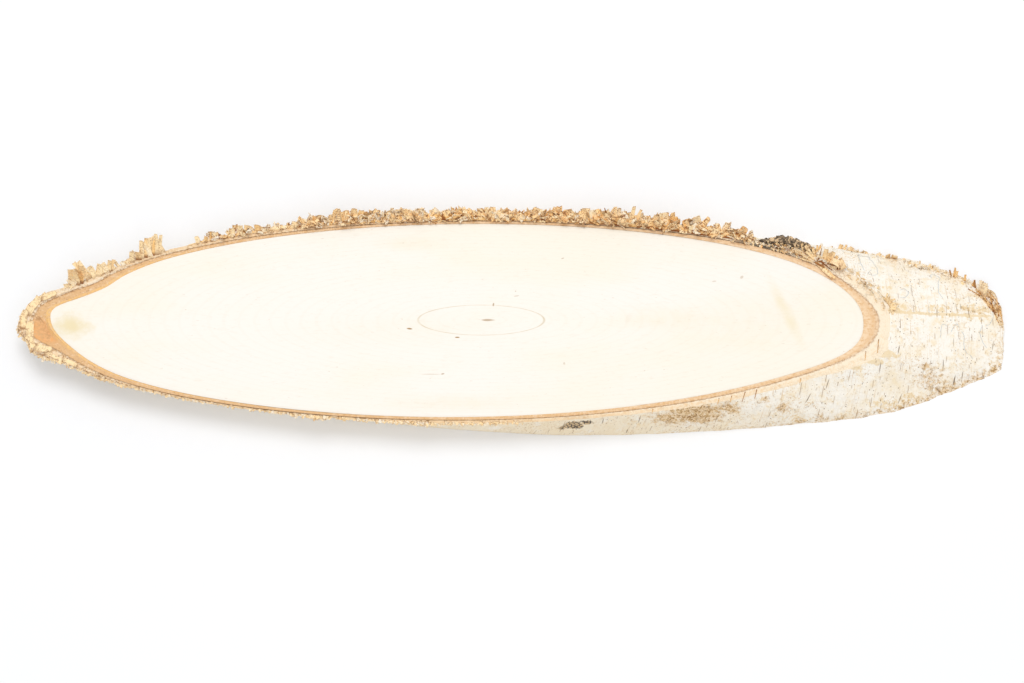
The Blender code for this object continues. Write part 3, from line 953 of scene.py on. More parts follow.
def makeThreads():
    # thin threads of loose paper that lie on the skin
    radius = barkLook["threadRadius"]
    material, tree, shader = newMaterial("looseThread")
    shader.inputs["Base Color"].default_value = (*barkLook["thread"], 1)
    shader.inputs["Roughness"].default_value = 0.7
    points, faces = [], []
    for turns in looseThreads:
        degrees, depth = throughTurns(turns).T
        middle = onCut(barkOutside(degrees, depth) + 0.5 * radius, degrees, depth)
        away = onCut(barkOutside(degrees, depth) + 1.5 * radius, degrees, depth) - middle
        away /= np.linalg.norm(away, axis=-1, keepdims=True)
        side = np.cross(np.gradient(middle, axis=0), away)
        side /= np.linalg.norm(side, axis=-1, keepdims=True)
        fiveWays = np.arange(5) / 5 * 2 * math.pi
        corners = [middle + radius * (away * math.cos(a) + side * math.sin(a)) for a in fiveWays]
        first = len(points)
        points += np.stack(corners, 1).reshape(-1, 3).tolist()
        tube = gridFaces(len(degrees), 5, False, True)
        tube += [(0, 1, 2, 3, 4), tuple(5 * (len(degrees) - 1) + k for k in (4, 3, 2, 1, 0))]
        faces += [tuple(first + corner for corner in face) for face in tube]
    threads = meshObject("looseThreads", points, faces, 60)
    threads.data.materials.append(material)
    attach(threads, "root")
    print("threads:", len(threads.data.polygons), "faces")


# Torn bark: Geometry Nodes scatter thin strips and crumbs over a band of the bark, then shape each one

curlLook = {
    "pale": (0.995, 0.780, 0.470),
    "gold": (0.975, 0.580, 0.210),
    "brown": (0.260, 0.080, 0.018),
    "cream": (0.975, 0.880, 0.720),
    "farRim": 0.0603,
    "clumpRim": 0.060,          # where the clumps of strips are read off the noise
    "lowerClumpRim": 0.058,
}
crustLook = {"black": (0.060, 0.045, 0.032), "grey": (0.300, 0.215, 0.140), "tan": (0.760, 0.550, 0.330)}


def makeCurlMaterial():
    material, tree, shader = newMaterial("tornBark")
    place = objectPlace(tree)
    local = attribute(tree, "local", "Vector")
    tone = attribute(tree, "tone")
    along, across, through = split(local)
    drawn = vec("ADD", stretched(local, (0.8, 5.0, 0.0)), scaled(place, 60.0))
    streak = speckle(drawn, 2.0, 3.0, 0.6)
    mixed = plus(times(tone, 0.75), minus(streak, 0.5))
    colour = colourMix(remap(mixed, 0.10, 0.70), curlLook["pale"], curlLook["gold"])
    colour = colourMix(remap(mixed, 0.58, 0.82, 0.0, 0.95), colour, curlLook["brown"])
    colour = colourMix(remap(mixed, 0.00, -0.22), colour, curlLook["cream"])
    outerSide = times(calc("LESS_THAN", through, 0.0), attribute(tree, "whiteness"))
    colour = colourMix(outerSide, colour, curlLook["cream"])
    # brown at the torn rims and tips of each strip, and painted shade at its root, where it sinks into the
    # crevice it grows from
    rim = remap(calc("ABSOLUTE", across), 0.45, 0.50, 0.0, 0.30)
    tip = remap(along, 0.42, 0.50, 0.0, 0.40)
    root = remap(along, -0.24, -0.46, 0.0, 0.85)
    edgesAndRootShade = times(calc("MAXIMUM", calc("MAXIMUM", rim, tip), root), remap(tone, -0.10, 0.45, 0.20, 1.0))
    colour = colourMix(edgesAndRootShade, colour, curlLook["brown"])
    # thin winding dark lines, painted shade in the crevices where one flake ends over the next
    wind = speckle(place, 330.0, 2.0, 0.5, 1.0)
    creviceShadeLines = remap(calc("ABSOLUTE", minus(wind, 0.5)), 0.034, 0.012, 0.0, 0.95)
    creviceShadeLines = times(creviceShadeLines, attribute(tree, "cracked"))
    colour = colourMix(creviceShadeLines, colour, curlLook["brown"])
    return finishMaterial(material, tree, shader, colour, 0.75, streak, 0.0004, 0.5)


def makeCrustMaterial():
    material, tree, shader = newMaterial("scarCrust")
    place = objectPlace(tree)
    grain = speckle(place, 560.0, 4.0, 0.7)
    colour = colourMix(remap(grain, 0.40, 0.60), crustLook["black"], crustLook["grey"])
    light = plus(speckle(stretched(place, (0.6, 1.0, 1.0)), 420.0, 3.0, 0.6),
                 times(minus(attribute(tree, "tone"), 0.5), 0.35))
    colour = colourMix(remap(light, 0.48, 0.57), colour, crustLook["tan"])
    return finishMaterial(material, tree, shader, colour, 0.85, grain, 0.0006, 0.8)


curlDefaults = {
    "density": 300000.0, "seed": 1, "length": 0.0046, "lengthSpread": 0.30, "width": 0.0026,
    "widthSpread": 0.5, "thickness": 0.00036, "liftSpread": 24.0, "bend": 40.0, "bendSpread": 120.0,
    "yaw": 42.0, "twist": 60.0, "taper": 0.25, "cup": 0.35, "ragged": 0.00055, "sink": 0.0007,
    "toneSpread": 0.32, "byVertex": 0, "lengthCuts": 7, "widthCuts": 3,
}
crumbDefaults = {
    "density": 300000.0, "seed": 1, "size": 0.0008, "sizeSpread": 0.45, "flatness": 0.55,
    "ragged": 0.0006, "toneSpread": 0.35, "sides": 7, "rings": 4,
}
wholeInputs = ("seed", "byVertex", "lengthCuts", "widthCuts", "sides", "rings")


def newScatterTree(name, defaults):
    tree = bpy.data.node_groups.new(name, "GeometryNodeTree")
    tree.interface.new_socket("Geometry", in_out="INPUT", socket_type="NodeSocketGeometry")
    tree.interface.new_socket("Geometry", in_out="OUTPUT", socket_type="NodeSocketGeometry")
    names = {}
    for label, value in defaults.items():
        kind = "NodeSocketInt" if label in wholeInputs else "NodeSocketFloat"
        socket = tree.interface.new_socket(label, in_out="INPUT", socket_type=kind)
        socket.default_value = value
        names[label] = socket.identifier
    socket = tree.interface.new_socket("finish", in_out="INPUT", socket_type="NodeSocketMaterial")
    names["finish"] = socket.identifier
    return tree, names, tree.nodes.new("NodeGroupInput").outputs


def named(tree, label, kind="FLOAT"):
    return wire(tree, "GeometryNodeInputNamedAttribute", {"Name": label}, data_type=kind)


def store(tree, geometry, label, value, kind="FLOAT"):
    inputs = {"Geometry": geometry, "Name": label, "Value": value}
    return wire(tree, "GeometryNodeStoreNamedAttribute", inputs, data_type=kind, domain="POINT")


def draw(tree, given, salt, low=-1.0, high=1.0):
    seed = plus(given["seed"], float(salt))
    return wire(tree, "FunctionNodeRandomValue", {2: low, 3: high, "Seed": seed}, 1, data_type="FLOAT")


def drawVector(tree, given, salt, low, high):
    seed = plus(given["seed"], float(salt))
    inputs = {0: (low,) * 3, 1: (high,) * 3, "Seed": seed}
    return wire(tree, "FunctionNodeRandomValue", inputs, 0, data_type="FLOAT_VECTOR")


def scatterPoints(tree, given):
    inputs = {"Mesh": given["Geometry"], "Seed": given["seed"],
              "Density": times(given["density"], named(tree, "crowd"))}
    return wire(tree, "GeometryNodeDistributePointsOnFaces", inputs, distribute_method="RANDOM")


def finishScatter(tree, given, geometry):
    flat = wire(tree, "GeometryNodeSetShadeSmooth", {"Geometry": geometry, "Shade Smooth": False})
    done = wire(tree, "GeometryNodeSetMaterial", {"Geometry": flat, "Material": given["finish"]})
    tree.links.new(done, tree.nodes.new("NodeGroupOutput").inputs[0])


def makeCurlTree():
    tree, names, given = newScatterTree("tornStrips", curlDefaults)

    def shifted(centre, share, salt):
        return plus(centre, times(share, draw(tree, given, salt)))

    def spread(centre, share, salt):
        return times(centre, shifted(1.0, share, salt))

    def turned(centre, share, salt):
        return calc("RADIANS", shifted(centre, share, salt))

    placed = wire(tree, "GeometryNodeMeshToPoints", {"Mesh": given["Geometry"]})
    chosen = {"Switch": calc("GREATER_THAN", given["byVertex"], 0.5), "False": scatterPoints(tree, given),
              "True": placed}
    points = wire(tree, "GeometryNodeSwitch", chosen, input_type="GEOMETRY")
    points = store(tree, points, "root", wire(tree, "GeometryNodeInputPosition", {}), "FLOAT_VECTOR")
    reach = times(given["length"], named(tree, "reach"))
    broad = times(given["width"], plus(1.0, named(tree, "broader")))
    bend = plus(shifted(given["bend"], given["bendSpread"], 14), named(tree, "bendBy"))
    drawn = {
        "curlLength": spread(reach, given["lengthSpread"], 11),
        "curlWidth": spread(broad, given["widthSpread"], 12),
        "curlLift": turned(named(tree, "lift"), given["liftSpread"], 13),
        "curlBend": calc("RADIANS", plus(bend, 0.013)),      # never quite 0, which the arc is divided by
        "curlYaw": turned(named(tree, "yawBy"), given["yaw"], 15),
        "curlTwist": turned(0.0, given["twist"], 16),
        "curlCup": shifted(0.0, given["cup"], 17),
        "tone": shifted(named(tree, "tone"), given["toneSpread"], 18),
        "salt": draw(tree, given, 19, 0.0, 90.0),
    }
    for label, value in drawn.items():
        points = store(tree, points, label, value)

    cuts = {"Size": (1, 1, 1), "Vertices X": given["lengthCuts"], "Vertices Y": given["widthCuts"],
            "Vertices Z": 2}
    strip = wire(tree, "GeometryNodeMeshCube", cuts)
    strip = store(tree, strip, "local", wire(tree, "GeometryNodeInputPosition", {}), "FLOAT_VECTOR")
    spots = wire(tree, "GeometryNodeInstanceOnPoints", {"Points": points, "Instance": strip})
    strips = wire(tree, "GeometryNodeRealizeInstances", {"Geometry": spots})

    local = named(tree, "local", "FLOAT_VECTOR")
    along, across, through = split(local)
    s = plus(along, 0.5)
    outward = named(tree, "outward", "FLOAT_VECTOR")
    upward = named(tree, "upward", "FLOAT_VECTOR")
    sideways = vec("CROSS_PRODUCT", upward, outward)
    yaw = {"Axis": upward, "Angle": named(tree, "curlYaw"), "Center": (0, 0, 0)}
    outward = wire(tree, "ShaderNodeVectorRotate", {"Vector": outward, **yaw}, rotation_type="AXIS_ANGLE")
    sideways = wire(tree, "ShaderNodeVectorRotate", {"Vector": sideways, **yaw}, rotation_type="AXIS_ANGLE")
    lift = named(tree, "curlLift")
    bend = named(tree, "curlBend")
    theta = plus(lift, times(bend, s))
    sine, cosine = calc("SINE", theta), calc("COSINE", theta)
    out = calc("DIVIDE", minus(sine, calc("SINE", lift)), bend)
    up = calc("DIVIDE", minus(calc("COSINE", lift), cosine), bend)
    length = named(tree, "curlLength")
    out = minus(times(out, length), given["sink"])
    up = times(up, length)
    centre = vec("ADD", scaled(outward, out), scaled(upward, up))
    normal = vec("SUBTRACT", scaled(upward, cosine), scaled(outward, sine))
    roll = times(named(tree, "curlTwist"), s)
    rollSine, rollCosine = calc("SINE", roll), calc("COSINE", roll)
    side = vec("ADD", scaled(sideways, rollCosine), scaled(normal, rollSine))
    face = vec("SUBTRACT", scaled(normal, rollCosine), scaled(sideways, rollSine))

    # the strip narrows to a ragged tip, thins, and is rolled a little across its width
    salt = wire(tree, "ShaderNodeCombineXYZ", {0: named(tree, "salt"), 1: named(tree, "salt")})
    rag = vec("ADD", stretched(local, (3.0, 1.6, 0.0)), salt)
    rough = speckleColour(rag, 1.0)
    narrowing = minus(1.0, times(given["taper"], calc("POWER", s, 1.7)))
    width = times(named(tree, "curlWidth"), narrowing)
    acrossBy = times(across, width)
    thin = times(given["thickness"], minus(1.0, times(0.6, s)))
    arch = times(4.0, times(across, across))
    hollow = times(times(named(tree, "curlCup"), width), arch)
    faceBy = plus(times(through, thin), hollow)
    position = vec("ADD", named(tree, "root", "FLOAT_VECTOR"), centre)
    position = vec("ADD", position, scaled(side, acrossBy))
    position = vec("ADD", position, scaled(face, faceBy))
    growing = plus(0.3, times(s, 2.4))
    position = vec("ADD", position, scaled(rough, times(given["ragged"], growing)))
    strips = wire(tree, "GeometryNodeSetPosition", {"Geometry": strips, "Position": position})
    finishScatter(tree, given, strips)
    return tree, names


def makeCrumbTree():
    tree, names, given = newScatterTree("crumbs", crumbDefaults)
    points = scatterPoints(tree, given)
    tone = plus(named(tree, "tone"), times(given["toneSpread"], draw(tree, given, 21)))
    points = store(tree, points, "tone", tone)
    ball = {"Segments": given["sides"], "Rings": given["rings"], "Radius": 1.0}
    crumb = wire(tree, "GeometryNodeMeshUVSphere", ball)
    size = times(given["size"], named(tree, "reach"))
    size = times(size, plus(1.0, times(given["sizeSpread"], draw(tree, given, 22))))
    flat = wire(tree, "ShaderNodeCombineXYZ", {0: 1.0, 1: plus(0.75, draw(tree, given, 24, -0.2, 0.3)),
                                               2: given["flatness"]})
    spots = {"Points": points, "Instance": crumb, "Rotation": drawVector(tree, given, 23, 0.0, 2 * math.pi),
             "Scale": scaled(flat, size)}
    crumbs = wire(tree, "GeometryNodeInstanceOnPoints", spots)
    crumbs = wire(tree, "GeometryNodeRealizeInstances", {"Geometry": crumbs})
    rough = speckleColour(wire(tree, "GeometryNodeInputPosition", {}), 1300.0, 1.0)
    offset = scaled(rough, times(given["ragged"], 2.0))
    crumbs = wire(tree, "GeometryNodeSetPosition", {"Geometry": crumbs, "Offset": offset})
    finishScatter(tree, given, crumbs)
    return tree, names


def barkFrame(degrees, depth, share):
    # a place in the outer bark, from its inner side (0) to its skin (1), with the ways out of it and up it
    def place(angle):
        inside = paperInside(angle, depth)
        return onCut(inside + share * (barkOutside(angle, depth) - inside), angle, depth)

    small = 0.25
    along = place(degrees + small) - place(degrees - small)
    along /= np.linalg.norm(along, axis=-1, keepdims=True)
    angle = np.radians(degrees)
    tilt = trunk["cutAngle"]
    outward = np.stack([math.sin(tilt) * np.cos(angle), np.sin(angle), math.cos(tilt) * np.cos(angle)], -1)
    return place(degrees), along, outward, np.cross(outward, along)


def farAngle(fromPith, depth):
    # the angle of the far rim at this distance along the slice from the pith
    return np.degrees(np.arccos(np.clip((fromPith - depth * slide) / stretch / curlLook["farRim"], -1, 1)))


def rimSide(degrees, depth=0.0, share=1.0):
    # a place on the rim with the level way out of it
    place, along, outward, upward = barkFrame(degrees, depth + 0 * degrees, share)
    side = np.stack([along[..., 1], -along[..., 0], 0 * along[..., 0]], -1)
    return place, side / np.linalg.norm(side, axis=-1, keepdims=True)


def storeBand(band, outward, upward, lift, values):
    storeVector(band, "outward", outward)
    storeVector(band, "upward", upward)
    storeFloat(band, "lift", lift)
    for label, rows in values.items():
        storeFloat(band, label, np.broadcast_to(rows, np.shape(lift)))
    return band


def bandOver(name, degrees, levels, values):
    # a strip of faces over the bark, to scatter on. A level is (depth, share, lift)
    points, outward, upward, lift = [], [], [], []
    for depth, share, tilt in levels:
        place, along, out, up = barkFrame(degrees, depth + 0 * degrees, share)
        points.append(place)
        outward.append(out)
        upward.append(up)
        lift.append(np.full(len(degrees), float(tilt)))
    band = meshObject(name, np.array(points).reshape(-1, 3),
                      gridFaces(len(levels), len(degrees), False, False))
    return storeBand(band, np.array(outward), np.array(upward), np.array(lift), values)


def ridgeRows(degrees, profile, inner, fullness):
    # rows of points along the rim: a profile entry is (share of the sawn edge, out, up)
    rows = []
    for share, out, up in profile:
        place, side = rimSide(degrees, 0.0, inner + (1 - inner) * share)
        row = place + side * (out * fullness)[:, None]
        row[:, 2] += up * fullness
        rows.append(row)
    return np.array(rows), side


def bandOnRidge(name, degrees, levels, inner, fullness, values):
    # faces on a ridge, with level and upright ways for the strips. A level is (share, out, up, lift)
    rows, side = ridgeRows(degrees, [level[:3] for level in levels], inner, fullness)
    band = meshObject(name, rows.reshape(-1, 3), gridFaces(len(levels), len(degrees), False, False))
    lift = np.broadcast_to(np.array([level[3] for level in levels], float)[:, None], rows.shape[:2])
    outward = np.broadcast_to(side, rows.shape)
    return storeBand(band, outward, np.broadcast_to((0.0, 0.0, 1.0), rows.shape), lift, values)


def finishPiece(piece):
    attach(piece, "root")
    print(piece.name + ":", len(piece.data.polygons), "faces")


def makeRidge(name, degrees, profile, inner, fullness, crumple, scale, tones, finish):
    rows, side = ridgeRows(degrees, profile, inner, fullness)
    fold = crumple * noiseAt(rows, scale, 4) + 0.5 * crumple * np.abs(noiseAt(rows, 0.5 * scale, 2))
    inwards = np.clip(3 * np.array([entry[0] for entry in profile]), 0.15, 1)[:, None]
    rows += side[None] * (fold * fullness * inwards)[..., None]
    rows[..., 2] += np.where(rows[..., 2] > sliceThickness - 0.0005, 0.8 * fold * fullness, 0)
    count = len(degrees)
    faces = gridFaces(len(rows), count, True, False)
    faces += [tuple(r * count for r in range(len(rows)))[::-1],
              tuple((r + 1) * count - 1 for r in range(len(rows)))]
    ridge = meshObject(name, rows.reshape(-1, 3), faces, 50)
    first, slope, dark = tones
    # painted shade: the lowest rows, where the bed meets the sawn edge, are darkened by the last of the
    # tones. The tone also follows the crumple: on the fringe bed, where a higher tone is darker, the folds
    # that sink in are painted darker as shade
    seamShade = dark * np.array([[1.0], [0.8], [0.25]] + [[0.0]] * (len(rows) - 3))
    storeFloat(ridge, "tone", first - slope * fold / crumple + seamShade)
    storeFloat(ridge, "cracked", np.ones(rows.shape[:2]))
    storeVector(ridge, "local", np.broadcast_to((0.0, 0.0, 1.0), rows.shape))
    ridge.data.materials.append(finish)
    finishPiece(ridge)


def scatter(name, band, tree, defaults, settings, finish):
    modifier = band.modifiers.new("scatter", "NODES")
    modifier.node_group = tree[0]
    for key, value in {**defaults, **settings}.items():
        modifier[tree[1][key]] = value
    modifier[tree[1]["finish"]] = finish
    graph = bpy.context.evaluated_depsgraph_get()
    mesh = bpy.data.meshes.new_from_object(band.evaluated_get(graph), preserve_all_data_layers=True,
                                           depsgraph=graph)
    bpy.data.objects.remove(band)
    places = np.empty(len(mesh.vertices) * 3, np.float32)
    mesh.vertices.foreach_get("co", places)
    places[2::3] = np.maximum(places[2::3], trunk["fitGap"])
    mesh.vertices.foreach_set("co", places)
    kept = ("position", "tone", "local", "whiteness", "cracked", "sharp_face", "material_index")
    for layer in [layer.name for layer in mesh.attributes if layer.name not in kept and layer.name[0] != "."]:
        mesh.attributes.remove(mesh.attributes[layer])
    mesh.name = name
    piece = bpy.data.objects.new(name, mesh)
    bpy.context.scene.collection.objects.link(piece)
    finishPiece(piece)
    return piece


def scatterCurls(name, band, settings, finish=None):
    return scatter(name, band, curlTree, curlDefaults, settings, finish or tornBark)


def scatterCrumbs(name, band, settings, finish=None):
    return scatter(name, band, crumbTree, crumbDefaults, settings, finish or tornBark)


def placeStrips(name, strips, settings):
    # strips set one by one: angle, depth, share, heading, lift, bend, length, width, tone
    degrees, depth, share, heading, lift, bend, length, width, tone = np.array(strips).T
    turn = np.radians(heading)
    band = meshObject(name, barkFrame(degrees, depth, share)[0], [])
    values = {"bendBy": bend, "reach": length / curlDefaults["length"],
              "broader": width / curlDefaults["width"] - 1,
              "tone": tone, "whiteness": 0.25, "cracked": 0.5, "crowd": 1.0}
    outward = np.stack([np.sin(turn), np.cos(turn), 0 * turn], -1)
    storeBand(band, outward, np.broadcast_to((0.0, 0.0, 1.0), outward.shape), lift, values)
    steady = {"byVertex": 1, "lengthSpread": 0.05, "widthSpread": 0.05, "liftSpread": 3.0, "bend": 0.0,
              "bendSpread": 6.0, "yaw": 4.0, "twist": 14.0, "cup": 0.18, "toneSpread": 0.06, "lengthCuts": 9,
              "widthCuts": 5}
    return scatterCurls(name, band, {**steady, **settings})


def byPlace(table, fromPith):
    # a size read off along the slice, between the places that are given
    return np.interp(fromPith, list(table), list(table.values()))


farFringe = {
    "from": -0.1640, "to": 0.1560, "columns": 900,
    "reach": {            # how far the torn bark stands out, by distance from the pith
        -0.164: 0.3, -0.160: 0.7, -0.150: 0.9, -0.146: 0.6, -0.140: 1.0, -0.134: 1.0, -0.128: 0.7,
        -0.100: 0.75, -0.095: 1.1, -0.091: 0.6, -0.084: 1.1, -0.080: 1.25, -0.070: 1.25, -0.066: 0.75,
        -0.060: 0.75, 0.0: 0.65, 0.050: 0.65, 0.060: 0.75, 0.076: 1.1, 0.086: 1.1, 0.090: 0.6, 0.100: 1.0,
        0.130: 0.95, 0.150: 0.8, 0.156: 0.5,
    },
    "tone": {-0.164: -0.10, -0.120: -0.02, -0.080: 0.12, 0.0: 0.22, 0.060: 0.24, 0.090: 0.24, 0.156: 0.28},
    "crowd": {-0.164: 0.3, -0.156: 0.7, -0.120: 0.8, -0.060: 1.0, 0.130: 1.0, 0.156: 0.8},
    "bed": {              # how full the crumpled bed under the strips is
        -0.164: 0.1, -0.156: 0.35, -0.140: 0.7, -0.125: 0.55, -0.100: 0.6, -0.080: 0.9, -0.050: 1.0,
        0.076: 1.0, 0.130: 1.0, 0.156: 0.6,
    },
    "inner": {            # where the bed starts on the sawn edge: 0 at its inner side, 1 at the skin
        -0.164: 0.95, -0.100: 0.75, -0.060: 0.30, -0.040: 0.12, 0.130: 0.12, 0.145: 0.3, 0.156: 0.6,
    },
    "seam": {             # how dark the bed is painted where it meets the sawn edge: painted shade of the crevice there
        -0.164: 0.0, -0.080: 0.1, -0.040: 0.35, 0.070: 0.45, 0.090: 0.8, 0.150: 0.9,
    },
    "profile": ((0.0, 0.0, -0.0006), (0.0, 0.0, 0.0005), (0.3, 0.0, 0.0013), (0.7, 0.0, 0.0019),
                (1.0, 0.0004, 0.0020), (1.0, 0.0016, 0.0016), (1.0, 0.0024, 0.0006), (1.0, 0.0026, -0.0010),
                (1.0, 0.0016, -0.0028), (1.0, -0.0004, -0.0040), (0.4, 0.0, -0.0042)),
    "levels": ((0.1, 0.0, 0.0004, 62), (0.5, 0.0, 0.0015, 62), (1.0, 0.0004, 0.0019, 46),
               (1.0, 0.0020, 0.0012, 24), (1.0, 0.0026, 0.0, 4), (1.0, 0.0020, -0.0022, -18)),
    "rowReach": (0.35, 0.65, 1.0, 1.1, 1.0, 0.9),      # how long the strips of each row of levels are
    "crumple": 0.0010, "crumpleScale": 0.0030, "clumps": 0.20, "clumpScale": 0.010,
}


def makeFarFringe():
    fromPith = np.linspace(farFringe["from"], farFringe["to"], farFringe["columns"])
    degrees = farAngle(fromPith, 0.001)
    clumps = 1 + farFringe["clumps"] * noiseAt(onCut(curlLook["clumpRim"], degrees, 0.0),
                                               farFringe["clumpScale"], 2)
    fullness = byPlace(farFringe["bed"], fromPith) * clumps
    inner = byPlace(farFringe["inner"], fromPith)
    tones = (byPlace(farFringe["tone"], fromPith) + 0.42, 0.80, byPlace(farFringe["seam"], fromPith))
    makeRidge("fringeBed", degrees, farFringe["profile"], inner, fullness, farFringe["crumple"],
              farFringe["crumpleScale"], tones, tornBark)
    values = {key: byPlace(farFringe[key], fromPith) for key in ("reach", "tone", "crowd")}
    values["reach"] = values["reach"] * clumps * np.array(farFringe["rowReach"])[:, None]
    values["whiteness"] = 0.05
    values["cracked"] = 0.9
    values["bendBy"] = np.array([-20.0, -10.0, 0.0, 0.0, 0.0, 0.0])[:, None]
    levels = farFringe["levels"]
    band = bandOnRidge("curlBand", degrees, levels, inner, fullness, values)
    settings = {"density": 240000.0, "seed": 4, "width": 0.0037, "length": 0.0052, "toneSpread": 0.46}
    scatterCurls("farFringe", band, settings)
    splinters = bandOnRidge("splinterBand", degrees, levels, inner, fullness, values)
    settings = {"density": 110000.0, "seed": 31, "length": 0.0042, "width": 0.0009, "bendSpread": 70.0,
                "taper": 0.5, "thickness": 0.00022, "ragged": 0.00025, "toneSpread": 0.6}
    scatterCurls("fringeSplinters", splinters, settings)


leftShreds = {
    "from": -0.2370, "to": -0.1835, "columns": 160, "rim": 0.0615, "inner": 0.2,
    "reach": {            # lengths in metres by distance from the pith
        -0.2370: 0.0010, -0.2345: 0.0045, -0.2318: 0.0080, -0.2290: 0.0125, -0.2260: 0.0115, -0.2240: 0.0030,
        -0.2200: 0.0065, -0.2160: 0.0035,
        -0.2130: 0.0065, -0.2100: 0.0030, -0.2055: 0.0030, -0.2025: 0.0055, -0.1995: 0.0095, -0.1955: 0.0110,
        -0.1915: 0.0095, -0.1870: 0.0112, -0.1845: 0.0095, -0.1835: 0.0030,
    },
}


def makeLeftShreds():
    # the loose sheets that stand along the far rim near the left end
    fromPith = np.linspace(leftShreds["from"], leftShreds["to"], leftShreds["columns"])
    degrees = farAngle(fromPith * curlLook["farRim"] / leftShreds["rim"], 0.0)
    values = {"reach": byPlace(leftShreds["reach"], fromPith) / curlDefaults["length"], "tone": 0.02,
              "crowd": 1.0, "whiteness": 0.25, "cracked": 0.5, "yawBy": 16.0}
    levels = ((0.5, 0.0, 0.0, 34), (1.0, 0.0, 0.0, 30), (1.0, 0.0002, -0.0015, 16))
    band = bandOnRidge("shredBand", degrees, levels, leftShreds["inner"] + 0 * degrees, 1 + 0 * degrees,
                       values)
    settings = {"density": 190000.0, "seed": 12, "width": 0.0030, "lengthSpread": 0.12, "widthSpread": 0.35,
                "liftSpread": 8.0, "bend": 12.0, "bendSpread": 26.0, "yaw": 12.0, "twist": 20.0, "cup": 0.25,
                "taper": 0.15, "lengthCuts": 9, "widthCuts": 4, "toneSpread": 0.22}
    scatterCurls("leftShreds", band, settings)


# Flaps and splinters that the photograph shows one by one. placeStrips names the columns
looseFlaps = [
    (160.6, 0.000, 0.9, 4, 30, 30, 0.0112, 0.0042, 0.10),
    (159.8, 0.000, 0.9, 2, 22, 88, 0.0122, 0.0060, 0.30),
    (158.7, 0.000, 0.9, 12, 26, 60, 0.0128, 0.0044, 0.40),
    (158.4, 0.000, 0.9, 4, 30, 80, 0.0090, 0.0022, 0.70),
    (154.2, 0.000, 0.9, 8, 32, 20, 0.0078, 0.0040, 0.05),
    (151.3, 0.000, 0.9, 14, 34, 30, 0.0085, 0.0028, 0.30),
    (150.6, 0.000, 0.9, 22, 34, 10, 0.0070, 0.0020, 0.45),
    (145.2, 0.000, 1.0, 0, 34, 20, 0.0070, 0.0030, 0.10),
    (143.6, 0.000, 1.0, -4, 34, 90, 0.0090, 0.0034, 0.50),
    (142.9, 0.000, 1.0, 0, 34, 10, 0.0110, 0.0026, 0.15),
    (142.0, 0.000, 1.0, 2, 36, 5, 0.0118, 0.0022, 0.45),
    (141.3, 0.000, 1.0, 2, 33, 10, 0.0115, 0.0026, 0.12),
    (140.4, 0.000, 1.0, 4, 36, 0, 0.0110, 0.0016, 0.75),
    (139.8, 0.000, 1.0, 4, 33, 10, 0.0122, 0.0030, 0.25),
    (139.2, 0.000, 1.0, 8, 34, 10, 0.0120, 0.0024, 0.18),
    (131.6, 0.000, 1.0, -20, 32, 10, 0.0048, 0.0030, 0.05),
    (130.4, 0.000, 1.0, 15, 40, 60, 0.0060, 0.0022, 0.65),
    (129.4, 0.000, 1.0, 0, 42, 30, 0.0062, 0.0016, 0.75),
    (127.4, 0.000, 1.0, 0, 40, 120, 0.0075, 0.0026, 0.60),
    (126.0, 0.000, 1.0, 0, 40, 20, 0.0066, 0.0036, 0.20),
    (124.6, 0.000, 1.0, 5, 40, 25, 0.0072, 0.0036, 0.25),
    (123.4, 0.000, 1.0, -5, 40, 20, 0.0064, 0.0030, 0.20),
    (122.0, 0.000, 1.0, 10, 42, 40, 0.0070, 0.0030, 0.60),
    (113.5, 0.000, 1.0, 14, 36, 15, 0.0062, 0.0030, 0.72),
    (112.9, 0.000, 1.0, 30, 40, 0, 0.0064, 0.0010, 0.90),
    (110.6, 0.000, 1.0, 10, 40, 12, 0.0082, 0.0034, 0.42),
    (109.8, 0.000, 1.0, 24, 42, 0, 0.0062, 0.0009, 0.80),
    (108.6, 0.000, 1.0, -10, 45, 15, 0.0088, 0.0046, 0.42),
    (107.8, 0.000, 1.0, 5, 42, 20, 0.0090, 0.0046, 0.36),
    (107.0, 0.000, 1.0, 18, 40, 20, 0.0078, 0.0040, 0.48),
    (100.4, 0.000, 1.0, -30, 44, 10, 0.0070, 0.0036, 0.40),
    (77.2, 0.000, 1.0, 4, 40, 8, 0.0082, 0.0030, 0.38),
    (73.8, 0.000, 1.0, -26, 40, 25, 0.0098, 0.0006, 1.00),
    (70.5, 0.000, 1.0, 12, 30, 12, 0.0108, 0.0024, 0.34),
    (69.9, 0.000, 1.0, 27, 32, 10, 0.0106, 0.0022, 0.40),
    (67.6, 0.000, 1.0, 40, 34, 10, 0.0080, 0.0030, 0.30),
]
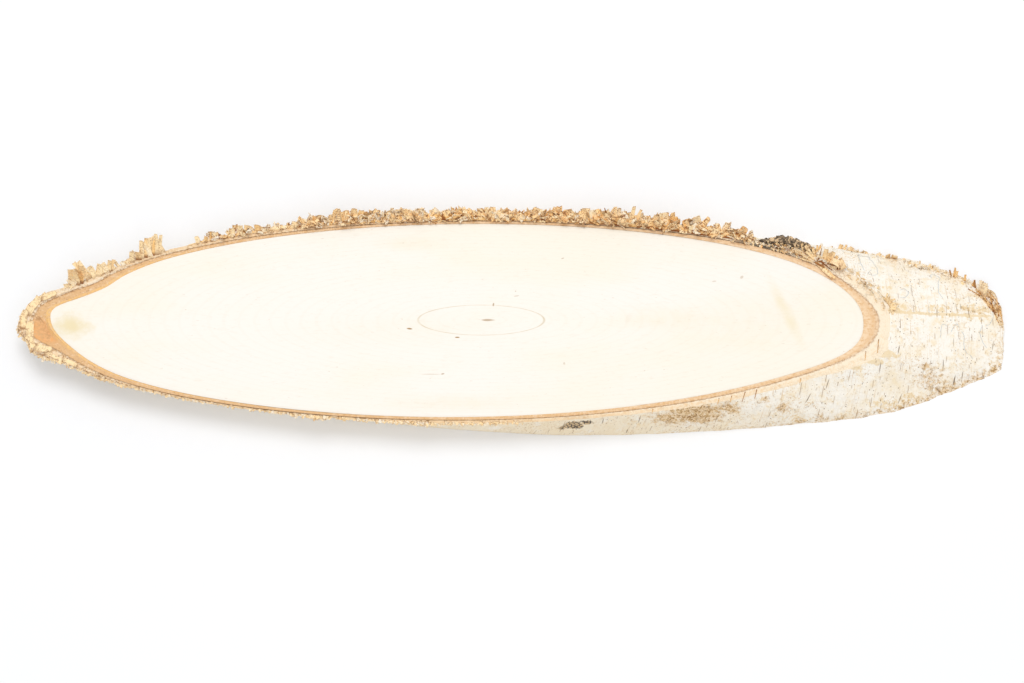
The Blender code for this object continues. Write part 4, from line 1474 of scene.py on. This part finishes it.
tornZoneStrips = [
    (37.4, 0.000, 0.50, 21, 26, 5, 0.0112, 0.0019, -0.35),
    (38.6, 0.000, 0.85, 3, 38, 0, 0.0084, 0.0016, 0.60),
    (38.2, 0.000, 0.80, 12, 38, 5, 0.0088, 0.0014, 0.70),
    (39.0, 0.000, 0.80, -12, 34, 5, 0.0070, 0.0016, 0.30),
    (37.2, 0.000, 0.35, -86, 8, 20, 0.0084, 0.0016, 0.10),
    (37.4, 0.000, 0.45, -72, 14, 20, 0.0092, 0.0018, 0.00),
    (37.6, 0.000, 0.55, -60, 20, 20, 0.0090, 0.0018, 0.25),
    (37.8, 0.000, 0.65, -46, 24, 15, 0.0082, 0.0018, 0.05),
    (38.0, 0.000, 0.75, -30, 30, 10, 0.0080, 0.0018, 0.35),
    (36.2, 0.000, 0.80, 14, 36, 25, 0.0090, 0.0030, 0.45),
    (35.4, 0.000, 0.90, 28, 34, 30, 0.0084, 0.0030, 0.35),
    (34.6, 0.000, 0.95, 44, 30, 35, 0.0072, 0.0026, 0.45),
    (35.0, 0.000, 0.85, -4, 40, 20, 0.0078, 0.0024, 0.55),
    (33.8, 0.000, 0.95, 62, 26, 30, 0.0070, 0.0024, 0.20),
    (33.0, 0.000, 0.95, 75, 20, 45, 0.0068, 0.0026, 0.40),
    (32.2, 0.000, 1.00, 118, 40, 260, 0.0150, 0.0044, 0.45),
    (31.4, 0.000, 1.00, 150, 26, 200, 0.0110, 0.0036, 0.55),
    (36.0, 0.000, 0.30, 140, 6, 8, 0.0130, 0.0022, 0.20),
    (34.4, 0.000, 0.25, 136, 4, 8, 0.0120, 0.0020, 0.45),
    (36.6, 0.000, 0.30, 122, 8, 10, 0.0070, 0.0012, 1.00),
    (38.4, 0.000, 0.50, -78, 12, 0, 0.0088, 0.0006, 1.30),
    (38.0, 0.000, 0.60, -52, 20, 0, 0.0080, 0.0006, 1.30),
    (38.8, 0.000, 0.60, -18, 28, 0, 0.0070, 0.0006, 1.30),
    (37.9, 0.000, 0.85, 16, 32, 0, 0.0074, 0.0006, 1.20),
    (36.8, 0.000, 0.50, 96, 6, 0, 0.0052, 0.0010, 1.40),
    (35.6, 0.000, 0.55, 126, 5, 0, 0.0075, 0.0006, 1.30),
    (40.4, 0.000, 0.60, -74, 12, 10, 0.0076, 0.0020, 0.15),
    (41.6, 0.000, 0.60, -66, 16, 10, 0.0070, 0.0022, -0.10),
    (40.6, 0.000, 0.90, -40, 26, 10, 0.0074, 0.0024, 0.20),
    (42.4, 0.000, 0.80, -30, 24, 30, 0.0060, 0.0020, 0.45),
]
leftTipFlaps = [
    (176.5, 0.000, 0.60, 36, 3, 6, 0.0120, 0.0046, 0.20),
    (172.6, 0.000, 0.60, 50, 3, 6, 0.0110, 0.0040, 0.28),
    (195.5, 0.000, 0.85, -22, 2, 6, 0.0100, 0.0046, 0.24),
    (190.0, 0.000, 0.62, 2, 3, 6, 0.0115, 0.0050, 0.18),
    (184.0, 0.000, 0.60, 6, 3, 8, 0.0090, 0.0044, 0.28),
    (194.0, 0.000, 0.62, 104, 2, 5, 0.0100, 0.0044, 0.22),
    (197.6, 0.000, 0.60, 110, 2, 5, 0.0110, 0.0042, 0.16),
    (201.5, 0.000, 0.55, 112, 2, 5, 0.0105, 0.0034, 0.24),
    (168.5, 0.000, 0.60, 62, 3, 6, 0.0100, 0.0032, 0.22),
    (180.5, 0.000, 0.62, 10, 4, 8, 0.0075, 0.0042, 0.16),
]
goldTuft = {"angles": (6.0, 12.5), "count": 16, "length": 0.0046, "width": 0.0012, "tone": 0.16}
rightFlaps = [
    (26.0, 0.0176, 1.0, 2, 30, 10, 0.0062, 0.0022, -0.20),
    (25.0, 0.0174, 1.0, 4, 28, 10, 0.0068, 0.0024, -0.10),
    (24.0, 0.0172, 1.0, 6, 28, 12, 0.0072, 0.0024, 0.05),
    (23.0, 0.0170, 1.0, 10, 26, 10, 0.0074, 0.0022, -0.05),
    (22.0, 0.0168, 1.0, 14, 24, 10, 0.0070, 0.0020, 0.10),
    (27.6, 0.0174, 1.0, -8, 36, 10, 0.0056, 0.0012, 0.95),
    (28.4, 0.0176, 1.0, 4, 36, 20, 0.0046, 0.0009, 0.90),
    (28.8, 0.0176, 1.0, 22, 34, 10, 0.0040, 0.0009, 0.80),
    (35.4, 0.0176, 1.0, -24, 38, 20, 0.0046, 0.0012, 0.95),
    (34.6, 0.0176, 1.0, 0, 42, 10, 0.0066, 0.0014, 0.80),
    (34.0, 0.0176, 1.0, 14, 36, 20, 0.0052, 0.0018, 0.55),
    (31.9, 0.0176, 1.0, 8, 40, 10, 0.0042, 0.0014, 0.75),
    (47.0, 0.0170, 1.0, 6, 30, 120, 0.0070, 0.0036, 0.35),
    (56.6, 0.0174, 1.0, 18, 30, 60, 0.0040, 0.0024, 0.35),
    (55.9, 0.0174, 1.0, 30, 28, 20, 0.0040, 0.0016, 0.45),
    (48.0, 0.0170, 1.0, -10, 34, 90, 0.0060, 0.0030, 0.25),
]
sectionTicks = [               # thin dark cracks across the pale sawn edge
    (-49.3, 0.0, 0.15, 196, 0, 0, 0.0062, 0.0004, 0.95), (-47.2, 0.0, 0.25, 196, 0, 0, 0.0055, 0.0004, 0.95),
    (-52.4, 0.0, 0.30, 196, 0, 0, 0.0040, 0.0004, 0.90), (-54.7, 0.0, 0.30, 194, 0, 0, 0.0038, 0.0004, 0.90),
    (-19.0, 0.0, 0.20, 186, 0, 0, 0.0055, 0.0004, 0.85), (-11.7, 0.0, 0.35, 184, 0, 0, 0.0080, 0.0004, 0.85),
    (-66.0, 0.0, 0.30, 192, 0, 0, 0.0028, 0.0004, 0.85), (-38.0, 0.0, 0.45, 196, 0, 0, 0.0030, 0.0004, 0.85),
    (199.5, 0.0, 0.05, 186, 0, 0, 0.0046, 0.0004, 0.90), (200.8, 0.0, 0.05, 184, 0, 0, 0.0056, 0.0004, 0.90),
]


def makeGoldTuft():
    start, end = goldTuft["angles"]
    strips = []
    for k in range(goldTuft["count"]):
        part = k / (goldTuft["count"] - 1)
        strips.append((start + (end - start) * part, 0.0006, 1.0, -70 + 190 * ((k * 5) % 16) / 15, 24, 20,
                       goldTuft["length"] * (0.75 + 0.5 * ((k * 7) % 5) / 4), goldTuft["width"],
                       goldTuft["tone"]))
    return strips


def makeLooseFlaps():
    placeStrips("looseFlaps", looseFlaps, {"seed": 6})
    placeStrips("tornZoneStrips", tornZoneStrips, {"seed": 8, "thickness": 0.00026, "ragged": 0.0004})
    placeStrips("leftTipFlaps", leftTipFlaps, {"seed": 14, "thickness": 0.0005, "ragged": 0.0011,
                                               "taper": 0.3, "yaw": 9.0, "cup": 0.1})
    placeStrips("sectionTicks", sectionTicks, {"seed": 20, "thickness": 0.0003, "ragged": 0.0001,
                                               "sink": 0.0})
    placeStrips("goldTuft", makeGoldTuft(), {"seed": 17, "thickness": 0.00022, "ragged": 0.0003})
    placeStrips("rightFlaps", rightFlaps, {"seed": 10, "thickness": 0.00026, "ragged": 0.0004})


scarCrust = {
    "from": 0.1540, "to": 0.1860, "columns": 110,
    "fullness": {0.1540: 0.10, 0.1580: 0.45, 0.1640: 0.90, 0.1720: 0.75, 0.1800: 0.55, 0.1845: 0.45,
                 0.1860: 0.1},
    "profile": ((0.0, 0.0, -0.0005), (0.0, 0.0, 0.0008), (0.5, 0.0, 0.0022), (1.0, 0.0006, 0.0030),
                (1.0, 0.0024, 0.0026), (1.0, 0.0036, 0.0012), (1.0, 0.0036, -0.0008), (1.0, 0.0014, -0.0030),
                (1.0, -0.0008, -0.0040)),
}


def makeScarCrust():
    fromPith = np.linspace(scarCrust["from"], scarCrust["to"], scarCrust["columns"])
    degrees = farAngle(fromPith, 0.0)
    fullness = byPlace(scarCrust["fullness"], fromPith)
    inner = 0.80 + 0 * degrees
    makeRidge("scarCrust", degrees, scarCrust["profile"], inner, fullness, 0.0016, 0.0026, (0.45, 0.5, 0.0),
              scarBark)
    values = {"reach": 0.6 + 0.4 * fullness, "tone": 0.45, "crowd": np.minimum(1, 1.5 * fullness)}
    levels = ((0.2, 0.0, 0.0012, 0), (0.6, 0.0, 0.0022, 0), (1.0, 0.0008, 0.0030, 0),
              (1.0, 0.0032, 0.0020, 0), (1.0, 0.0036, -0.0010, 0))
    band = bandOnRidge("crustBand", degrees, levels, inner, fullness, values)
    scatterCrumbs("crustLumps", band, {"density": 620000.0, "seed": 3, "size": 0.0011, "ragged": 0.0009,
                                       "toneSpread": 0.5}, scarBark)

    # pale crumbs and flakes between the crust and the inner bark, and on to the right
    below = np.linspace(51.5, 38.0, 90)
    values = {"reach": 1.0, "tone": 0.12, "crowd": 1.0, "whiteness": 0.5, "cracked": 1.0}
    pale = bandOver("paleBand", below, ((0.0, 0.05, 30), (0.0, 0.75, 40)), values)
    scatterCrumbs("scarCrumbs", pale, {"density": 500000.0, "seed": 5, "size": 0.0009, "toneSpread": 0.45})
    pale = bandOver("paleBand", below, ((0.0, 0.15, 30), (0.0, 0.85, 40)), values)
    settings = {"density": 330000.0, "seed": 7, "length": 0.0036, "width": 0.0018, "bend": 20.0,
                "bendSpread": 60.0, "yaw": 80.0, "thickness": 0.00026, "toneSpread": 0.45}
    scatterCurls("scarFlakes", pale, settings)


def makeTornFlakes():
    # the line of flakes between the inner bark and the white skin, right of the scar
    degrees = np.linspace(38.0, 3.0, 200)
    fade = np.clip((degrees + 4) / 22, 0.45, 1.0)
    values = {"reach": fade, "tone": -0.16, "crowd": fade, "whiteness": 0.9, "cracked": 0.25}
    levels = ((0.0, 0.45, 12), (0.0, 0.98, 12), (0.0010, 1.0, 4))
    band = bandOver("flakeBand", degrees, levels, values)
    settings = {"density": 270000.0, "seed": 15, "length": 0.0036, "width": 0.0016, "bend": 10.0,
                "liftSpread": 11.0, "bendSpread": 45.0, "yaw": 75.0, "thickness": 0.00022, "toneSpread": 0.50}
    scatterCurls("tornFlakes", band, settings)


def makeLowerFrays():
    # crumbly tufts along the lower rim, far side and right end
    degrees = np.linspace(60.0, 28.0, 220)
    clumps = 0.42 + np.clip(1.9 * noiseAt(onCut(curlLook["lowerClumpRim"], degrees, 0.018), 0.009), 0, 1)
    values = {"reach": 0.6 + 0.5 * clumps, "tone": -0.42 + 0.24 * clumps, "crowd": clumps, "whiteness": 0.9,
              "cracked": 0.5}
    levels = ((0.0160, 0.97, 12), (0.0182, 0.97, 2))
    band = bandOver("lowerBand", degrees, levels, values)
    settings = {"density": 420000.0, "seed": 9, "length": 0.0028, "width": 0.0018, "bend": 60.0, "yaw": 60.0,
                "liftSpread": 16.0, "toneSpread": 0.60}
    scatterCurls("lowerFrays", band, settings)
    crumbs = bandOver("lowerBand", degrees, levels, values)
    scatterCrumbs("lowerCrumbs", crumbs, {"density": 500000.0, "seed": 19, "size": 0.0008})


def makeBrokenEdge():
    # the layered edge where the bark broke off at the right end: narrow slats that lie along it
    start, end = 23.0, 2.5
    degrees = np.linspace(start, end, 120)
    middle = np.sqrt(np.sin(math.pi * (degrees - end) / (start - end)))
    values = {"reach": 0.5 + 0.5 * middle, "tone": 0.56, "crowd": 0.3 + 0.7 * middle, "whiteness": 0.0,
              "cracked": 0.9, "yawBy": 84.0}
    levels = ((0.0158, 1.0, 3), (0.0180, 1.0, 3))
    band = bandOver("edgeBand", degrees, levels, values)
    settings = {"density": 300000.0, "seed": 23, "length": 0.0080, "width": 0.0013, "lengthSpread": 0.4,
                "liftSpread": 7.0, "bend": 0.0, "bendSpread": 16.0, "yaw": 10.0, "twist": 18.0, "cup": 0.2,
                "thickness": 0.0004, "toneSpread": 0.34}
    scatterCurls("brokenEdge", band, settings)


def makeNearFrays():
    # the crumbled edge of the bark along the near side and round the left end
    degrees = np.linspace(176.0, 274.0, 700)
    ragged = 0.35 + np.clip(1.8 * noiseAt(onCut(curlLook["clumpRim"], degrees, 0.0), 0.012), 0, 1)
    values = {"reach": 0.55 + 0.6 * ragged, "tone": 0.04, "crowd": ragged, "whiteness": 0.4, "cracked": 0.5}
    levels = ((0.0, 0.80, 12), (0.0, 1.0, 4), (0.0009, 1.0, -18))
    band = bandOver("nearBand", degrees, levels, values)
    settings = {"density": 2600000.0, "seed": 27, "length": 0.0022, "width": 0.0013, "bend": -20.0,
                "bendSpread": 60.0,
                "yaw": 70.0, "thickness": 0.0003, "ragged": 0.0004, "toneSpread": 0.35, "lengthCuts": 5}
    scatterCurls("nearFrays", band, settings)
    crumbs = bandOver("nearBand", degrees, levels, values)
    scatterCrumbs("nearCrumbs", crumbs, {"density": 2200000.0, "seed": 29, "size": 0.0005})


# Floor and light

studio = {
    "floorSize": 6.0,
    "floorColour": (0.900, 0.905, 0.920),
    "keyWatts": 16.5,
    "keySize": 1.1,
    "keyPlace": (-0.10, 0.75, 2.08),
    "fillWatts": 4.5,
    "fillSize": 1.5,
    "fillPlace": (0.20, -0.95, 1.98),
    "skyStrength": 0.77,
    "skyColour": (0.990, 0.995, 1.0),
}


def makeFloor():
    half = studio["floorSize"] / 2
    corners = [(-half, -half, 0), (half, -half, 0), (half, half, 0), (-half, half, 0)]
    floor = meshObject("floor", np.array(corners), [(0, 1, 2, 3)])
    material, tree, shader = newMaterial("paleFloor")
    shader.inputs["Base Color"].default_value = (*studio["floorColour"], 1)
    shader.inputs["Roughness"].default_value = 0.9
    shader.inputs["Specular IOR Level"].default_value = 0.0
    floor.data.materials.append(material)


def areaLight(name, watts, size, place):
    data = bpy.data.lights.new(name, "AREA")
    data.energy = watts
    data.size = size
    lamp = bpy.data.objects.new(name, data)
    lamp.location = place
    lamp.rotation_euler = (-Vector(place)).to_track_quat("-Z", "Y").to_euler()
    bpy.context.scene.collection.objects.link(lamp)


def makeLight():
    areaLight("keyLight", studio["keyWatts"], studio["keySize"], studio["keyPlace"])
    areaLight("fillLight", studio["fillWatts"], studio["fillSize"], studio["fillPlace"])
    world = bpy.data.worlds.new("studio")
    world.use_nodes = True
    background = world.node_tree.nodes["Background"]
    background.inputs["Color"].default_value = (*studio["skyColour"], 1)
    background.inputs["Strength"].default_value = studio["skyStrength"]
    bpy.context.scene.world = world
    bpy.context.scene.view_settings.view_transform = "Standard"


makeCamera()
makeWood()
makeInnerBark()
makeOuterBark()
makeThreads()
tornBark = makeCurlMaterial()
scarBark = makeCrustMaterial()
curlTree = makeCurlTree()
crumbTree = makeCrumbTree()
makeFarFringe()
makeLeftShreds()
makeLooseFlaps()
makeScarCrust()
makeTornFlakes()
makeLowerFrays()
makeBrokenEdge()
makeNearFrays()
makeFloor()
makeLight()
